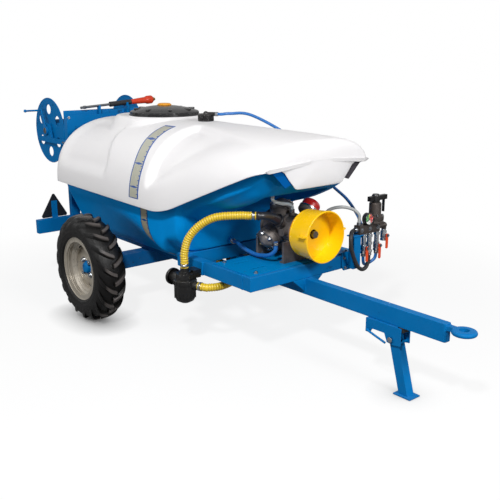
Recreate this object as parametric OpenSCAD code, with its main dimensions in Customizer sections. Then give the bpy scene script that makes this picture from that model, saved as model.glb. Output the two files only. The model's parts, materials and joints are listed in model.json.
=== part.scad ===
// Towed orchard and garden sprayer: a two-wheeled cart with a moulded tank,
// a shaft-driven diaphragm pump, a hose reel, a spray gun and a pressure regulator.
// Millimetres, +X forward to the towing eye, +Y left, +Z up. The origin is on the
// ground, in the middle of the overall length. Places along X are first measured
// from the axle, and from_axle() carries them to the part's own frame.

/* [Wheels] */
// Outer diameter of a tyre over its lugs
tyre_od = 590; // [540:1:640]
// Width of a tyre at its sidewalls
tyre_w = 160; // [145:1:170]
// Height of the tread lugs
lug_h = 20; // [10:1:24]
// Lugs on each half of the tread
lug_count = 18; // [12:1:22]
// Distance between the two wheel centre planes
track = 1156; // [1150:1:1300]
// Diameter of the bead seats of a rim
bead_d = 304.8; // [295:0.1:306]
// Diameter of the flanges of a rim
flange_d = 345; // [336:1:352]
// Distance between the insides of the rim flanges
rim_w = 124; // [116:1:130]
// Pitch circle of the wheel bolts
bolt_circle = 102; // [98:1:120]
// Diameter of the hub cap
cap_d = 60; // [58:1:66]
// Outer diameter of the wheel bearings
bearing_od = 52; // [50:1:56]
// Diameter of the stub axles under the bearings
stub_d = 30; // [25:1:34]

/* [Frame] */
// Height of the deck above the axle
deck_rise = 157; // [150:1:190]
// Distance from the axle to the front face of the frame
frame_front = 1121; // [1110:1:1160]
// Distance from the axle to the back of the front frame
frame_back = 540; // [530:1:550]
// Width over the side rails
frame_w = 726; // [700:1:740]
// Height of the frame tubes
rail_h = 68; // [60:1:72]
// Width of the frame tubes
rail_w = 40; // [36:1:46]
// Wall of all square tubes
tube_wall = 5; // [3:0.5:6]
// Side of the square axle beam
axle_side = 80; // [70:1:84]
// Height of the tank bearers
bearer_h = 30; // [20:1:34]
// Thickness of the pump platform
platform_t = 5; // [4:0.5:6]

/* [Drawbar] */
// Distance from the axle to the centre of the towing eye
eye_reach = 1994; // [1950:1:2100]
// Outer diameter of the towing eye
eye_od = 103; // [96:1:116]
// Hole of the towing eye
eye_hole = 42; // [36:1:50]
// Thickness of the towing eye
eye_t = 20; // [16:1:26]
// Height of the drawbar tube
drawbar_h = 80; // [76:1:90]
// Width of the drawbar tube
drawbar_w = 40; // [36:1:46]
// Length of the solid neck between the drawbar and the eye's centre
eye_neck = 72; // [66:1:90]
// Side of the square prop stand
leg_side = 45; // [40:1:46]
// Diameter of the stand's hinge pin
stand_pin_d = 16; // [12:1:18]
// Forward lean of the stand in degrees
leg_lean = 16; // [12:0.5:18]

/* [Tank] */
// Half width of the upper shell at its widest
shell_half = 450; // [440:1:470]
// Half width of the lower shell at its widest
basin_half = 400; // [380:1:410]
// Height of the top of the tank above the deck
tank_rise = 626; // [620:1:650]
// Wall of both tank shells
tank_wall = 7; // [5:0.5:9]
// Distance from the axle to the front of the tank
tank_front = 1180; // [1176:1:1200]
// Distance from the axle back to the rear of the tank
tank_rear = 660; // [640:1:680]
// Distance from the axle back to the centre of the lid
lid_back = 92; // [80:1:110]
// Radius of the lid
lid_r = 197; // [190:1:200]
// Inner radius of the filler neck
neck_r = 165; // [155:1:170]
// Height of the lid's dome above its rim
lid_dome = 30; // [20:1:36]

/* [Reel] */
// Distance from the axle back to the reel's axis
reel_back = 1023; // [1015:1:1040]
// Height of the reel's axis above the deck
reel_rise = 493; // [480:1:520]
// Radius of the reel's discs
disc_r = 211; // [200:1:220]
// Width of the drum between its discs
drum_w = 576; // [560:1:580]
// Radius of the drum's core
core_r = 70; // [60:1:80]
// Diameter of the reel's axle
reel_axle_d = 40; // [36:1:44]
// Throw of the crank
crank_throw = 142; // [120:1:160]
// Length of the crank's handle
handle_l = 100; // [90:1:110]

/* [Pump] */
// Distance from the axle to the pump heads' plane
pump_x = 925; // [915:1:935]
// Height of the drive shaft above the deck
shaft_rise = 153; // [150:1:160]
// Radius of the pump's crankcase
case_r = 70; // [64:1:74]
// Radius of a pump head
head_r = 58; // [50:1:60]
// Distance from the shaft to the seat of a pump head
head_seat = 88; // [86:1:92]
// Diameter of the splined shaft
shaft_d = 35; // [30:0.5:38]
// Radius of the shaft guard at its mouth
guard_r = 123; // [115:1:128]
// Length of the shaft guard
guard_l = 128; // [120:1:132]
// Wall of the shaft guard
guard_wall = 5; // [4:0.5:6]
// Radius of the air chamber
chamber_r = 50; // [44:1:52]

/* [Plumbing] */
// Outer diameter of the ribbed suction hoses
suction_d = 39; // [34:1:42]
// Wall of the suction hoses under the ribs
suction_wall = 3; // [2:0.5:4]
// Height of the ribs on the suction hoses
rib_h = 1.5; // [1:0.1:2]
// Ribs on each suction hose
rib_count = 46; // [30:1:60]
// Outer diameter of the thick pressure hoses
pressure_d = 20; // [16:1:22]
// Outer diameter of the thin hoses
thin_d = 16; // [12:1:17]
// Diameter of the filter bowl
bowl_d = 112; // [104:1:118]

/* [Regulator] */
// Diameter of the pressure gauge
gauge_d = 63; // [58:1:66]
// Diameter of the regulator's column
column_d = 62; // [56:1:66]
// Length of the valve levers
lever_l = 70; // [60:1:72]
// Width of the valve levers
lever_w = 16; // [12:1:18]

/* [Rear lights] */
// Length of the rear light bar
light_bar_l = 1068; // [1000:1:1120]
// Height of the rear light bar
light_bar_h = 86; // [80:1:92]
// Side of a warning triangle
triangle_side = 186; // [160:1:200]
// Distance between the centres of the two triangles
triangle_gap = 804; // [780:1:840]
// Distance from the axle back to the front face of the light bar
light_bar_back = 750; // [740:1:770]

/* [Hidden] */
$fn = 64;

// Gap between pieces that only touch, and between a pin and its bore
seat_gap = 0.3;
turn_gap = 0.05;
// Overlap of a cutting solid with the faces it cuts
cut = 1;

// Paint and moulding colours
frame_blue = "#0a66ad";
tank_blue = "#0b6fbb";
shell_white = "#e9e7e9";

// Heights above the ground
axle_z = tyre_od / 2;
deck_z = axle_z + deck_rise;
rail_z = deck_z - rail_h;
axle_top = axle_z + axle_side / 2;
bearer_top = axle_top + bearer_h;
drawbar_z = rail_z - drawbar_h;
shaft_z = deck_z + shaft_rise;
tank_top = deck_z + tank_rise;
reel_z = deck_z + reel_rise;

// The axle's place in the part's own frame: half way between the ends
front_reach = eye_reach + eye_od / 2;
rear_reach = reel_back + disc_r;
axle_x = (rear_reach - front_reach) / 2;

module from_axle() {
    translate([axle_x, 0, 0]) children();
}

module both_sides() {
    children();
    mirror([0, 1, 0]) children();
}

// ---- Square tubes and plates ----

// A square tube along X, open at both ends; y is its middle and z its underside
module tube_x(x0, x1, y, z, w, h) {
    translate([x0, y - w / 2, z]) difference() {
        cube([x1 - x0, w, h]);
        translate([-cut, tube_wall, tube_wall])
            cube([x1 - x0 + 2 * cut, w - 2 * tube_wall, h - 2 * tube_wall]);
    }
}

// A square tube along Y with closed ends, centred on y = 0
module tube_y(x0, x1, z, h, length, wall = tube_wall) {
    translate([x0, -length / 2, z]) difference() {
        cube([x1 - x0, length, h]);
        translate([wall, wall, wall]) cube([x1 - x0 - 2 * wall, length - 2 * wall, h - 2 * wall]);
    }
}

// An outline in X and Z pushed out along Y from y0 to y1
module slab_y(y0, y1) {
    translate([0, y1, 0]) rotate([90, 0, 0]) linear_extrude(y1 - y0) children();
}

// An outline in Y and Z pushed out along X from x0 to x1
module slab_x(x0, x1) {
    translate([x0, 0, 0]) rotate([90, 0, 90]) linear_extrude(x1 - x0) children();
}

// A round bar along Y
module bar_y(x, z, d, y0, y1) {
    translate([x, y1, z]) rotate([90, 0, 0]) cylinder(d = d, h = y1 - y0);
}

// A round bar along X
module bar_x(y, z, d, x0, x1) {
    translate([x0, y, z]) rotate([0, 90, 0]) cylinder(d = d, h = x1 - x0);
}

// Children drawn along +Z stand at p and point to q
module along(p, q) {
    v = q - p;
    translate(p) rotate([0, acos(v.z / norm(v)), atan2(v.y, v.x)]) children();
}

// A round bar from p to q, and a ring of the same kind
module bar(p, q, d) {
    along(p, q) cylinder(d = d, h = norm(q - p));
}
module collar(p, q, d_in, d_out, length) {
    along(p, q) difference() {
        cylinder(d = d_out, h = length);
        translate([0, 0, -cut]) cylinder(d = d_in, h = length + 2 * cut);
    }
}

// A hexagon bolt head with its top towards +Z
module hex_head(across, h) {
    cylinder(d = across / cos(30), h = h, $fn = 6);
}

// ---- Skins through rings of points ----

function unit(v) = v / norm(v);
function last(list) = list[len(list) - 1];

// A smooth line through the points of a route, with the same steps on every stretch
function spline_point(a, b, c, d, t) =
    (2 * b + (c - a) * t + (2 * a - 5 * b + 4 * c - d) * t * t
     + (3 * b - a - 3 * c + d) * t * t * t) / 2;
function smooth_route(p, steps) = concat(
    [for (i = [0:len(p) - 2], k = [0:steps - 1])
        spline_point(p[max(i - 1, 0)], p[i], p[i + 1], p[min(i + 2, len(p) - 1)], k / steps)],
    [last(p)]);

function heading(p, i) = unit(p[min(i + 1, len(p) - 1)] - p[max(i - 1, 0)]);
function square_to(v, t) = unit(v - (v * t) * t);
// One side direction per point, carried along the line without twist
function side_line(p, i = 0, before = undef) = i >= len(p) ? [] :
    let(t = heading(p, i),
        across = abs(t.z) < 0.9 ? [0, 0, 1] : [1, 0, 0],
        n = square_to(is_undef(before) ? across : before, t))
    concat([n], side_line(p, i + 1, n));
function ring(c, t, n, r, sides) =
    [for (k = [0:sides - 1]) c + r * (cos(k * 360 / sides) * n + sin(k * 360 / sides) * cross(t, n))];
// The rings of a tube whose radius is r[0] and r[1] in turn
function tube_rings(p, r, sides) = let(n = side_line(p))
    [for (i = [0:len(p) - 1]) ring(p[i], heading(p, i), n[i], r[i % len(r)], sides)];

function flat(rings) = [for (one = rings, point = one) point];
// Triangles between rings that run along their own heading
function wall_faces(count, sides, start = 0) = [
    for (i = [0:count - 2], k = [0:sides - 1])
        let(a = start + i * sides + k, b = start + i * sides + (k + 1) % sides)
        each [[a, a + sides, b + sides], [a, b + sides, b]]
];
function turned(faces) = [for (f = faces) [f[2], f[1], f[0]]];
function fan(start, sides) = [for (k = [1:sides - 2]) [start, start + k, start + k + 1]];

// A closed skin over rings that all have the same number of points
module skin(rings) {
    sides = len(rings[0]);
    end = (len(rings) - 1) * sides;
    polyhedron(points = flat(rings),
        faces = concat(fan(0, sides), wall_faces(len(rings), sides), turned(fan(end, sides))));
}

// A plain round hose along a route
module hose(route, d, steps = 3) {
    skin(tube_rings(smooth_route(route, steps), [d / 2], 8));
}

// A hose with its bore and a rib at every second ring
module ribbed_hose(route, d, bore_d, ribs) {
    sides = 8;
    stretches = len(route) - 1;
    line = smooth_route(route, ceil(2 * ribs / stretches));
    inside = smooth_route(route, 4);
    outer = tube_rings(line, [d / 2 - rib_h, d / 2], sides);
    inner = tube_rings(inside, [bore_d / 2], sides);
    first = len(outer) * sides;
    last_inner = first + (len(inner) - 1) * sides;
    ends = [for (k = [0:sides - 1]) let(m = (k + 1) % sides, e = first - sides, f = last_inner)
        each [[k, m, first + m], [k, first + m, first + k],
              [e + m, e + k, f + k], [e + m, f + k, f + m]]];
    polyhedron(points = concat(flat(outer), flat(inner)),
        faces = concat(wall_faces(len(outer), sides), turned(wall_faces(len(inner), sides, first)), ends));
}

// ---- Wheels: drawn with the axis along Z, the outer side towards +Z ----

axle_half = track / 2 - tyre_w / 2 - 18;
bead_r = bead_d / 2;
carcass_r = tyre_od / 2 - lug_h;
rim_half = rim_w / 2;
flange_t = 4;
tyre_t = 11;
// Places along the wheel's axis, from its centre plane
disc_seat = 10;
disc_t = 5;
outer_bearing = [-4, 14];
inner_bearing = [-46, -28];
hub_end = 16;
hub_barrel_r = 36;
hub_flange_r = 64;
bolt_d = 12;
wheel_bolt_count = 4;

// A wheel's place: side is -1 on the right and 1 on the left
module on_wheel(side) {
    from_axle() translate([0, side * track / 2, axle_z]) rotate([-side * 90, 0, 0]) children();
}

module bolt_pattern() {
    for (k = [0:wheel_bolt_count - 1])
        rotate([0, 0, 45 + k * 360 / wheel_bolt_count]) translate([bolt_circle / 2, 0, 0]) children();
}

// A rounded loop about the middle of the tyre's wall, drawn in by inset
function tyre_loop(inset) = let(middle = (carcass_r + bead_r) / 2, power = 2 / 2.6)
    [for (a = [0:15:345]) [
        middle + ((carcass_r - bead_r) / 2 - inset) * sign(cos(a)) * pow(abs(cos(a)), power),
        (tyre_w / 2 - inset) * sign(sin(a)) * pow(abs(sin(a)), power)]];

module tyre_body() {
    bead_w = 18;
    bead_h = 30;
    rotate_extrude() difference() {
        union() {
            polygon(tyre_loop(0));
            for (side = [-1, 1])
                translate([bead_r + seat_gap, side * (rim_half - seat_gap - bead_w / 2) - bead_w / 2])
                    square([bead_h, bead_w]);
        }
        difference() {
            polygon(tyre_loop(tyre_t));
            for (side = [-1, 1])
                translate([0, side * (rim_half - seat_gap - bead_w / 2) - bead_w / 2])
                    square([bead_r + bead_h, bead_w]);
        }
        translate([0, -rim_half + bead_w]) square([bead_r + 20, 2 * (rim_half - bead_w)]);
        translate([0, -tyre_w / 2]) square([bead_r + seat_gap, tyre_w]);
        for (side = [-1, 1])
            translate([0, side * (rim_half + tyre_w / 4) - tyre_w / 4 - (side < 0 ? -seat_gap : seat_gap)])
                square([flange_d / 2 + 2 * seat_gap, tyre_w / 2]);
    }
}

module tread_lugs() {
    lug_t = 26;
    lug_l = 104;
    tread_half = 76;
    base = carcass_r - 46;
    intersection() {
        translate([0, 0, -tread_half]) cylinder(r = tyre_od / 2, h = 2 * tread_half);
        for (side = [-1, 1], k = [0:lug_count - 1])
            rotate([0, 0, (k + (side + 1) / 4) * 360 / lug_count])
                translate([base, 0, side * tread_half / 2])
                    rotate([side * 45, 0, 0]) translate([0, -lug_t / 2, -lug_l / 2])
                        cube([tyre_od / 2 - base + lug_h, lug_t, lug_l]);
    }
}

module tyre() {
    color("#2b2a2c") {
        tyre_body();
        difference() {
            tread_lugs();
            rotate_extrude() polygon(tyre_loop(tyre_t / 2));
        }
    }
}

module rim() {
    rim_t = 4;
    well_r = bead_r - 24;
    hand_hole_d = 22;
    hand_hole_r = 104;
    color("#b9b4a6") difference() {
        rotate_extrude() {
            polygon([
                [flange_d / 2, -rim_half - flange_t], [flange_d / 2, -rim_half], [bead_r, -rim_half],
                [bead_r, -40], [well_r, -24], [well_r, 24], [bead_r, 40], [bead_r, rim_half],
                [flange_d / 2, rim_half], [flange_d / 2, rim_half + flange_t],
                [bead_r - rim_t, rim_half + flange_t], [bead_r - rim_t, 38], [well_r - rim_t, 22],
                [well_r - rim_t, -22], [bead_r - rim_t, -38], [bead_r - rim_t, -rim_half - flange_t]]);
            polygon([
                [hub_barrel_r + 2, disc_seat], [84, disc_seat], [110, -4], [well_r - rim_t / 2, -4],
                [well_r - rim_t / 2, 2], [112, 2], [86, disc_seat + disc_t],
                [hub_barrel_r + 2, disc_seat + disc_t]]);
        }
        bolt_pattern() cylinder(d = bolt_d + 2, h = 4 * disc_seat, center = true);
        for (k = [0:3])
            rotate([0, 0, k * 90]) translate([hand_hole_r, 0, -20]) cylinder(d = hand_hole_d, h = 60);
    }
}

module hub() {
    seat = bearing_od / 2 + turn_gap;
    color(frame_blue) difference() {
        union() {
            translate([0, 0, inner_bearing[0]]) cylinder(r = hub_barrel_r, h = hub_end - inner_bearing[0]);
            cylinder(r = hub_flange_r, h = disc_seat);
        }
        translate([0, 0, inner_bearing[0] - cut])
            cylinder(r = seat, h = inner_bearing[1] - inner_bearing[0] + cut + seat_gap);
        translate([0, 0, outer_bearing[0] - seat_gap])
            cylinder(r = seat, h = hub_end - outer_bearing[0] + seat_gap + cut);
        translate([0, 0, inner_bearing[0]]) cylinder(r = seat - 6, h = 2 * hub_end - inner_bearing[0]);
        bolt_pattern() translate([0, 0, -cut]) cylinder(d = bolt_d + 4 * turn_gap, h = disc_seat + 2 * cut);
    }
}

module hub_cap() {
    cap_t = 3;
    cap_h = 18;
    color(frame_blue) translate([0, 0, hub_end]) rotate_extrude()
        polygon([[cap_d / 2 - cap_t, 0], [cap_d / 2, 0], [cap_d / 2, cap_h - 8], [cap_d / 2 - 6, cap_h - 1],
                 [cap_d / 2 - 12, cap_h], [0, cap_h], [0, cap_h - cap_t], [cap_d / 2 - 12, cap_h - cap_t],
                 [cap_d / 2 - 6 - cap_t / 2, cap_h - cap_t - 1], [cap_d / 2 - cap_t, cap_h - 9]]);
}

module wheel_bolts() {
    color("#d8d8da") bolt_pattern() {
        translate([0, 0, -6]) cylinder(d = bolt_d, h = disc_seat + disc_t + 6);
        translate([0, 0, disc_seat + disc_t]) hex_head(19, 9);
    }
}

module tyre_right() on_wheel(-1) tyre();
module tyre_left() on_wheel(1) tyre();
module rim_right() on_wheel(-1) rim();
module rim_left() on_wheel(1) rim();
module hub_right() on_wheel(-1) hub();
module hub_left() on_wheel(1) hub();
module hub_cap_right() on_wheel(-1) hub_cap();
module hub_cap_left() on_wheel(1) hub_cap();
module wheel_bolts_right() on_wheel(-1) wheel_bolts();
module wheel_bolts_left() on_wheel(1) wheel_bolts();

// The four bearings stay on the stub axles while the hubs turn round them
module wheel_bearings() {
    color("#c9cacc") for (side = [-1, 1], span = [inner_bearing, outer_bearing])
        on_wheel(side) translate([0, 0, span[0]]) difference() {
            cylinder(d = bearing_od, h = span[1] - span[0]);
            translate([0, 0, -cut]) cylinder(d = stub_d + 2 * turn_gap, h = 60);
        }
}

// The beam with its end plates, stub axles and nuts
module axle() {
    plate_side = 100;
    plate_t = 14;
    shoulder_d = 45;
    nut_h = 11;
    beam_in = track / 2 - axle_half;
    color(frame_blue) from_axle() {
        translate([0, 0, axle_z - axle_side / 2])
            tube_y(-axle_side / 2, axle_side / 2, 0, axle_side, 2 * (axle_half - plate_t));
        both_sides() translate([-plate_side / 2, axle_half - plate_t, axle_z - plate_side / 2])
            cube([plate_side, plate_t, plate_side]);
    }
    color("#9a9b9e") for (side = [-1, 1]) on_wheel(side) {
        translate([0, 0, -beam_in]) cylinder(d = shoulder_d, h = beam_in + inner_bearing[0]);
        translate([0, 0, -beam_in]) cylinder(d = stub_d, h = beam_in + outer_bearing[1] + nut_h + 2);
        translate([0, 0, outer_bearing[1]]) hex_head(42, nut_h);
    }
}

// ---- Frame ----

cross_t = 60;
rail_front = frame_front - cross_t;
rail_back = frame_back + cross_t;
bearer_w = 60;
bearer_y = 190;

// The plate that carries the suction filter stands on the right rail
plate_t = 12;
plate_x = [680, 768];
plate_y = -frame_w / 2 - plate_t;

module side_rails() {
    color(frame_blue) from_axle() {
        both_sides()
            tube_x(rail_back, rail_front, frame_w / 2 - rail_w / 2, rail_z, rail_w, rail_h);
        translate([plate_x[0], plate_y, rail_z]) cube([plate_x[1] - plate_x[0], plate_t, rail_h]);
    }
}

module crossmembers() {
    color(frame_blue) from_axle() {
        tube_y(rail_front, frame_front, rail_z, rail_h, frame_w);
        tube_y(frame_back, rail_back, rail_z, rail_h, frame_w);
    }
}

// Two flat tubes that carry the tank over the axle, stepped up to the front frame
module tank_bearers() {
    color(frame_blue) from_axle() both_sides() {
        tube_x(-light_bar_back, rail_back, bearer_y, axle_top, bearer_w, bearer_h);
        translate([frame_back, bearer_y - bearer_w / 2, bearer_top])
            cube([cross_t, bearer_w, rail_z - bearer_top]);
    }
}

platform_back = 830;
platform_front = frame_front - 20;
platform_top = deck_z + platform_t;

module pump_platform() {
    slot_l = 90;
    slot_w = 14;
    color("#2f86c6") from_axle() translate([0, 0, deck_z]) difference() {
        translate([platform_back, -frame_w / 2 + 14, 0])
            cube([platform_front - platform_back, frame_w - 28, platform_t]);
        for (x = [platform_back + 60, platform_front - 90], side = [-1, 1])
            translate([x, side * 235 - slot_l / 2, -cut]) linear_extrude(platform_t + 2 * cut) {
                square([slot_w, slot_l]);
                translate([slot_w / 2, 0]) circle(d = slot_w);
                translate([slot_w / 2, slot_l]) circle(d = slot_w);
            }
    }
}

bar_front = -light_bar_back;
bar_t = 40;
bar_z = 332;

module rear_light_bar() {
    strap_w = 40;
    strap_t = 4;
    strap_h = 180;
    color(frame_blue) from_axle() {
        tube_y(bar_front - bar_t, bar_front, bar_z, light_bar_h, light_bar_l);
        both_sides() translate([bar_front - bar_t - strap_t, triangle_gap / 2 - strap_w / 2, bar_z + 12])
            cube([strap_t, strap_w, strap_h]);
    }
}

module warning_triangles() {
    triangle_t = 6;
    corner = 12;
    half = triangle_side / 2;
    height = triangle_side * sqrt(3) / 2;
    back = bar_front - bar_t - 4;
    color("#161616") from_axle() both_sides()
        translate([0, triangle_gap / 2, bar_z + light_bar_h])
            slab_x(back - triangle_t, back)
                polygon([[-half + corner, 0], [half - corner, 0], [half - corner / 2, corner],
                         [corner / 2, height - corner], [-corner / 2, height - corner],
                         [-half + corner / 2, corner]]);
}

// ---- Drawbar, towing eye and prop stand ----

drawbar_end = eye_reach - eye_neck;
eye_z = rail_z - 17;

module drawbar() {
    corner = 10;
    gusset_t = 6;
    gusset_w = 80;
    gusset_h = 66;
    color(frame_blue) from_axle() {
        translate([0, 0, drawbar_z]) difference() {
            linear_extrude(drawbar_h) union() {
                translate([frame_back, -drawbar_w / 2])
                    square([drawbar_end - corner - frame_back, drawbar_w]);
                translate([frame_back, -drawbar_w / 2 + corner])
                    square([drawbar_end - frame_back, drawbar_w - 2 * corner]);
                for (side = [-1, 1])
                    translate([drawbar_end - corner, side * (drawbar_w / 2 - corner)]) circle(r = corner);
            }
            translate([frame_back - cut, -drawbar_w / 2 + tube_wall, tube_wall])
                cube([drawbar_end - frame_back - 12, drawbar_w - 2 * tube_wall, drawbar_h - 2 * tube_wall]);
        }
        both_sides() translate([0, drawbar_w / 2, rail_z]) slab_x(frame_front - gusset_t, frame_front)
            polygon([[0, 0], [gusset_w, 0], [0, -gusset_h]]);
    }
}

module towing_eye() {
    ring_w = (eye_od - eye_hole) / 2;
    neck_w = 30;
    color(frame_blue) from_axle() translate([eye_reach, 0, eye_z]) {
        rotate_extrude() {
            translate([eye_hole / 2, -eye_t / 2]) square([ring_w - eye_t / 2, eye_t]);
            translate([eye_od / 2 - eye_t / 2, 0]) circle(d = eye_t);
        }
        translate([-eye_neck, -neck_w / 2, -eye_t / 2 + 1])
            cube([eye_neck - eye_hole / 2 - 6, neck_w, eye_t - 2]);
    }
}

hinge_x = 1665;
hinge_z = drawbar_z - 59;
bracket_in = leg_side / 2 + 5.5;
bracket_t = 6;
bail_x = 1535;
bail_z = hinge_z + 7;
bail_d = 10;
stop_d = 12;
head_l = 13;
foot_t = 6;
// The stop bar touches the front of the lowered leg this far below the hinge
stop_drop = 20;
stop_x = hinge_x + stop_drop * sin(leg_lean) + (leg_side / 2 + seat_gap + stop_d / 2) * cos(leg_lean);
stop_z = hinge_z - stop_drop * cos(leg_lean) + (leg_side / 2 + seat_gap + stop_d / 2) * sin(leg_lean);

module stand_bracket() {
    plate_front = stop_x + 14;
    color(frame_blue) from_axle() {
        difference() {
            both_sides() slab_y(bracket_in, bracket_in + bracket_t)
                polygon([[bail_x - 15, drawbar_z], [plate_front, drawbar_z], [plate_front, stop_z - 8],
                         [hinge_x + 12, hinge_z - 24], [hinge_x - 24, hinge_z - 20],
                         [hinge_x - 40, hinge_z + 17], [bail_x + 20, hinge_z + 17],
                         [bail_x + 10, bail_z - 12], [bail_x - 15, bail_z - 12]]);
            bar_y(hinge_x, hinge_z, stand_pin_d + 2 * turn_gap, -100, 100);
            bar_y(bail_x, bail_z, bail_d + 2 * turn_gap, -100, 100);
        }
        translate([bail_x - 15, -bracket_in, drawbar_z - bracket_t])
            cube([plate_front - 25 - bail_x + 15, 2 * bracket_in, bracket_t]);
        bar_y(stop_x, stop_z, stop_d, -bracket_in, bracket_in);
    }
}

module stand_buffer() {
    color("#141414") from_axle()
        translate([stop_x - 8, -drawbar_w / 2, drawbar_z - 22]) cube([24, drawbar_w, 22]);
}

module stand_pin() {
    pin_half = bracket_in + bracket_t + 8;
    color("#8f9092") from_axle() {
        bar_y(hinge_x, hinge_z, stand_pin_d, -pin_half, pin_half);
        both_sides() bar_y(hinge_x, hinge_z, stand_pin_d + 8, pin_half, pin_half + 5);
    }
}

// A fixed bent bar beside the bracket, whose cross rod stops the folded leg
module stand_bail() {
    side_y = bracket_in + bracket_t + 3 + bail_d / 2;
    tip = [hinge_x - 26, hinge_z - 22];
    tilt = atan2(bail_z - tip[1], tip[0] - bail_x);
    bar_l = norm([tip[0] - bail_x, bail_z - tip[1]]);
    color("#6f7072") from_axle() {
        bar_y(bail_x, bail_z, bail_d, -side_y, side_y);
        both_sides() translate([bail_x, side_y, bail_z]) {
            sphere(d = bail_d + 3);
            rotate([0, 90 + tilt, 0]) cylinder(d = bail_d, h = bar_l);
        }
    }
}

module stand_leg() {
    leg_wall = 4;
    leg_l = hinge_z / cos(leg_lean) + leg_side;
    foot_x = hinge_x + hinge_z * tan(leg_lean);
    color(frame_blue) from_axle() {
        difference() {
            translate([hinge_x, 0, hinge_z]) rotate([0, -leg_lean, 0])
            translate([0, 0, head_l]) difference() {
                translate([-leg_side / 2, -leg_side / 2, -leg_l]) cube([leg_side, leg_side, leg_l]);
                translate([-leg_side / 2 + leg_wall, -leg_side / 2 + leg_wall, -leg_l - cut])
                    cube([leg_side - 2 * leg_wall, leg_side - 2 * leg_wall, leg_l + 2 * cut]);
            }
            bar_y(hinge_x, hinge_z, stand_pin_d + 2 * turn_gap, -100, 100);
            translate([hinge_x - 200, -100, foot_t - 300]) cube([500, 200, 300]);
        }
        translate([foot_x - 45, -35, 0]) cube([90, 70, foot_t]);
    }
}

// ---- Tank ----

nose_x = tank_front - 14;
front_wall_x = 600;
seam_z = deck_z + 210;
// Lower edge of the upper shell, seen from the side
edge_line = [[-tank_rear, seam_z + 18], [450, seam_z], [500, seam_z - 4], [540, seam_z + 10],
             [tank_front, seam_z + 278]];
function edge_z(x) = lookup(x, edge_line);

// A closed arch over the full width: a is the half width, n the fullness
function arch(x, a, z0, z1, n) = [for (i = [0:20]) let(c = cos(i * 9), s = sin(i * 9))
    [x, a * sign(c) * pow(abs(c), 2 / n), z0 + (z1 - z0) * pow(abs(s), 2 / n)]];

// Stations of the upper shell: place, half width, base, top, fullness
shell_stations = [
    [-tank_rear, shell_half - 50, seam_z + 14, tank_top - 78, 2.6],
    [-tank_rear + 12, shell_half - 20, seam_z + 14, tank_top - 44, 2.5],
    [-tank_rear + 50, shell_half - 2, seam_z + 14, tank_top - 26, 2.4],
    [-400, shell_half, seam_z + 12, tank_top - 16, 2.4],
    [-lid_back, shell_half, seam_z + 6, tank_top, 2.4],
    [280, shell_half, seam_z - 4, tank_top - 4, 2.4],
    [450, shell_half - 4, seam_z - 8, tank_top - 6, 2.4],
    [560, shell_half - 14, seam_z + 2, tank_top - 8, 2.5],
    [900, shell_half - 54, seam_z + 128, tank_top - 14, 2.6],
    [tank_front - 80, shell_half - 84, seam_z + 174, tank_top - 22, 2.8],
    [tank_front - 20, shell_half - 98, seam_z + 176, tank_top - 28, 3],
    [tank_front, shell_half - 120, seam_z + 183, tank_top - 38, 3]];

// The same stations drawn in by a wall all round, and open below
module shell_form(wall = 0) {
    middle = (tank_front - tank_rear) / 2;
    length = tank_front + tank_rear;
    skin([for (s = shell_stations)
        arch(middle + (s[0] - middle) * (1 - 2 * wall / length), s[1] - wall,
             s[2] - 2 * wall, s[3] - wall, s[4])]);
}

// Stations of the lower shell: place, underside, half width there, height and half width of the knee,
// half width above
basin_stations = [
    [20 - tank_rear, bearer_top + 45, basin_half - 160, seam_z - 22, basin_half - 38, basin_half - 35],
    [60 - tank_rear, bearer_top + seat_gap, basin_half - 115, seam_z - 22, basin_half - 7, basin_half - 5],
    [-300, bearer_top + seat_gap, basin_half - 115, seam_z - 40, basin_half - 4, basin_half - 2],
    [0, bearer_top + seat_gap, basin_half - 115, seam_z - 66, basin_half - 2, basin_half],
    [200, bearer_top + seat_gap, basin_half - 115, seam_z - 117, basin_half - 2, basin_half],
    [330, bearer_top + seat_gap, basin_half - 115, seam_z - 170, basin_half - 4, basin_half],
    [430, bearer_top + seat_gap, basin_half - 115, seam_z - 216, basin_half - 8, basin_half],
    [475, deck_z + seat_gap, basin_half - 55, deck_z + 58, basin_half - 12, basin_half],
    [front_wall_x - 30, deck_z + seat_gap, basin_half - 55, deck_z + 88, basin_half - 17, basin_half - 5],
    [front_wall_x, deck_z + 10, basin_half - 110, deck_z + 108, basin_half - 50, basin_half - 15],
    [front_wall_x + 6, deck_z + 148, basin_half - 100, deck_z + 196, basin_half - 48, basin_half - 15],
    [880, deck_z + 264, basin_half - 70, deck_z + 318, basin_half - 45, basin_half - 40],
    [1060, deck_z + 348, basin_half - 100, deck_z + 398, basin_half - 82, basin_half - 80],
    [tank_front - 60, deck_z + 398, basin_half - 150, deck_z + 444, basin_half - 115, basin_half - 100]];

function basin_ring(x, zb, wb, zk, wk, wt, zt) =
    let(corner = 38)
    [[x, wt, zt], [x, -wt, zt], [x, -wk, zk], [x, -wb, zb + corner], [x, corner - wb, zb],
     [x, wb - corner, zb], [x, wb, zb + corner], [x, wk, zk]];

module basin_form(wall = 0) {
    skin([for (s = basin_stations)
        basin_ring(s[0] + (s[0] < 0 ? wall : -wall), s[1] + wall, s[2] - wall, s[3] + wall / 2, s[4] - wall,
                   s[5] - wall, edge_z(s[0]) + 30 + 2 * wall)]);
}

// The bay under the nose that the pump stands in
module pump_bay(wall = 0) {
    translate([front_wall_x + 40 - wall, -215 - wall, deck_z])
        cube([tank_front - front_wall_x, 430 + 2 * wall, 338 + wall]);
}

sump_x = 400;
sump_y = -90;
sump_out = 470;
sump_pipe_z = deck_z - 102;
blue_port = [620, -69, deck_z + 29];

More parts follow.
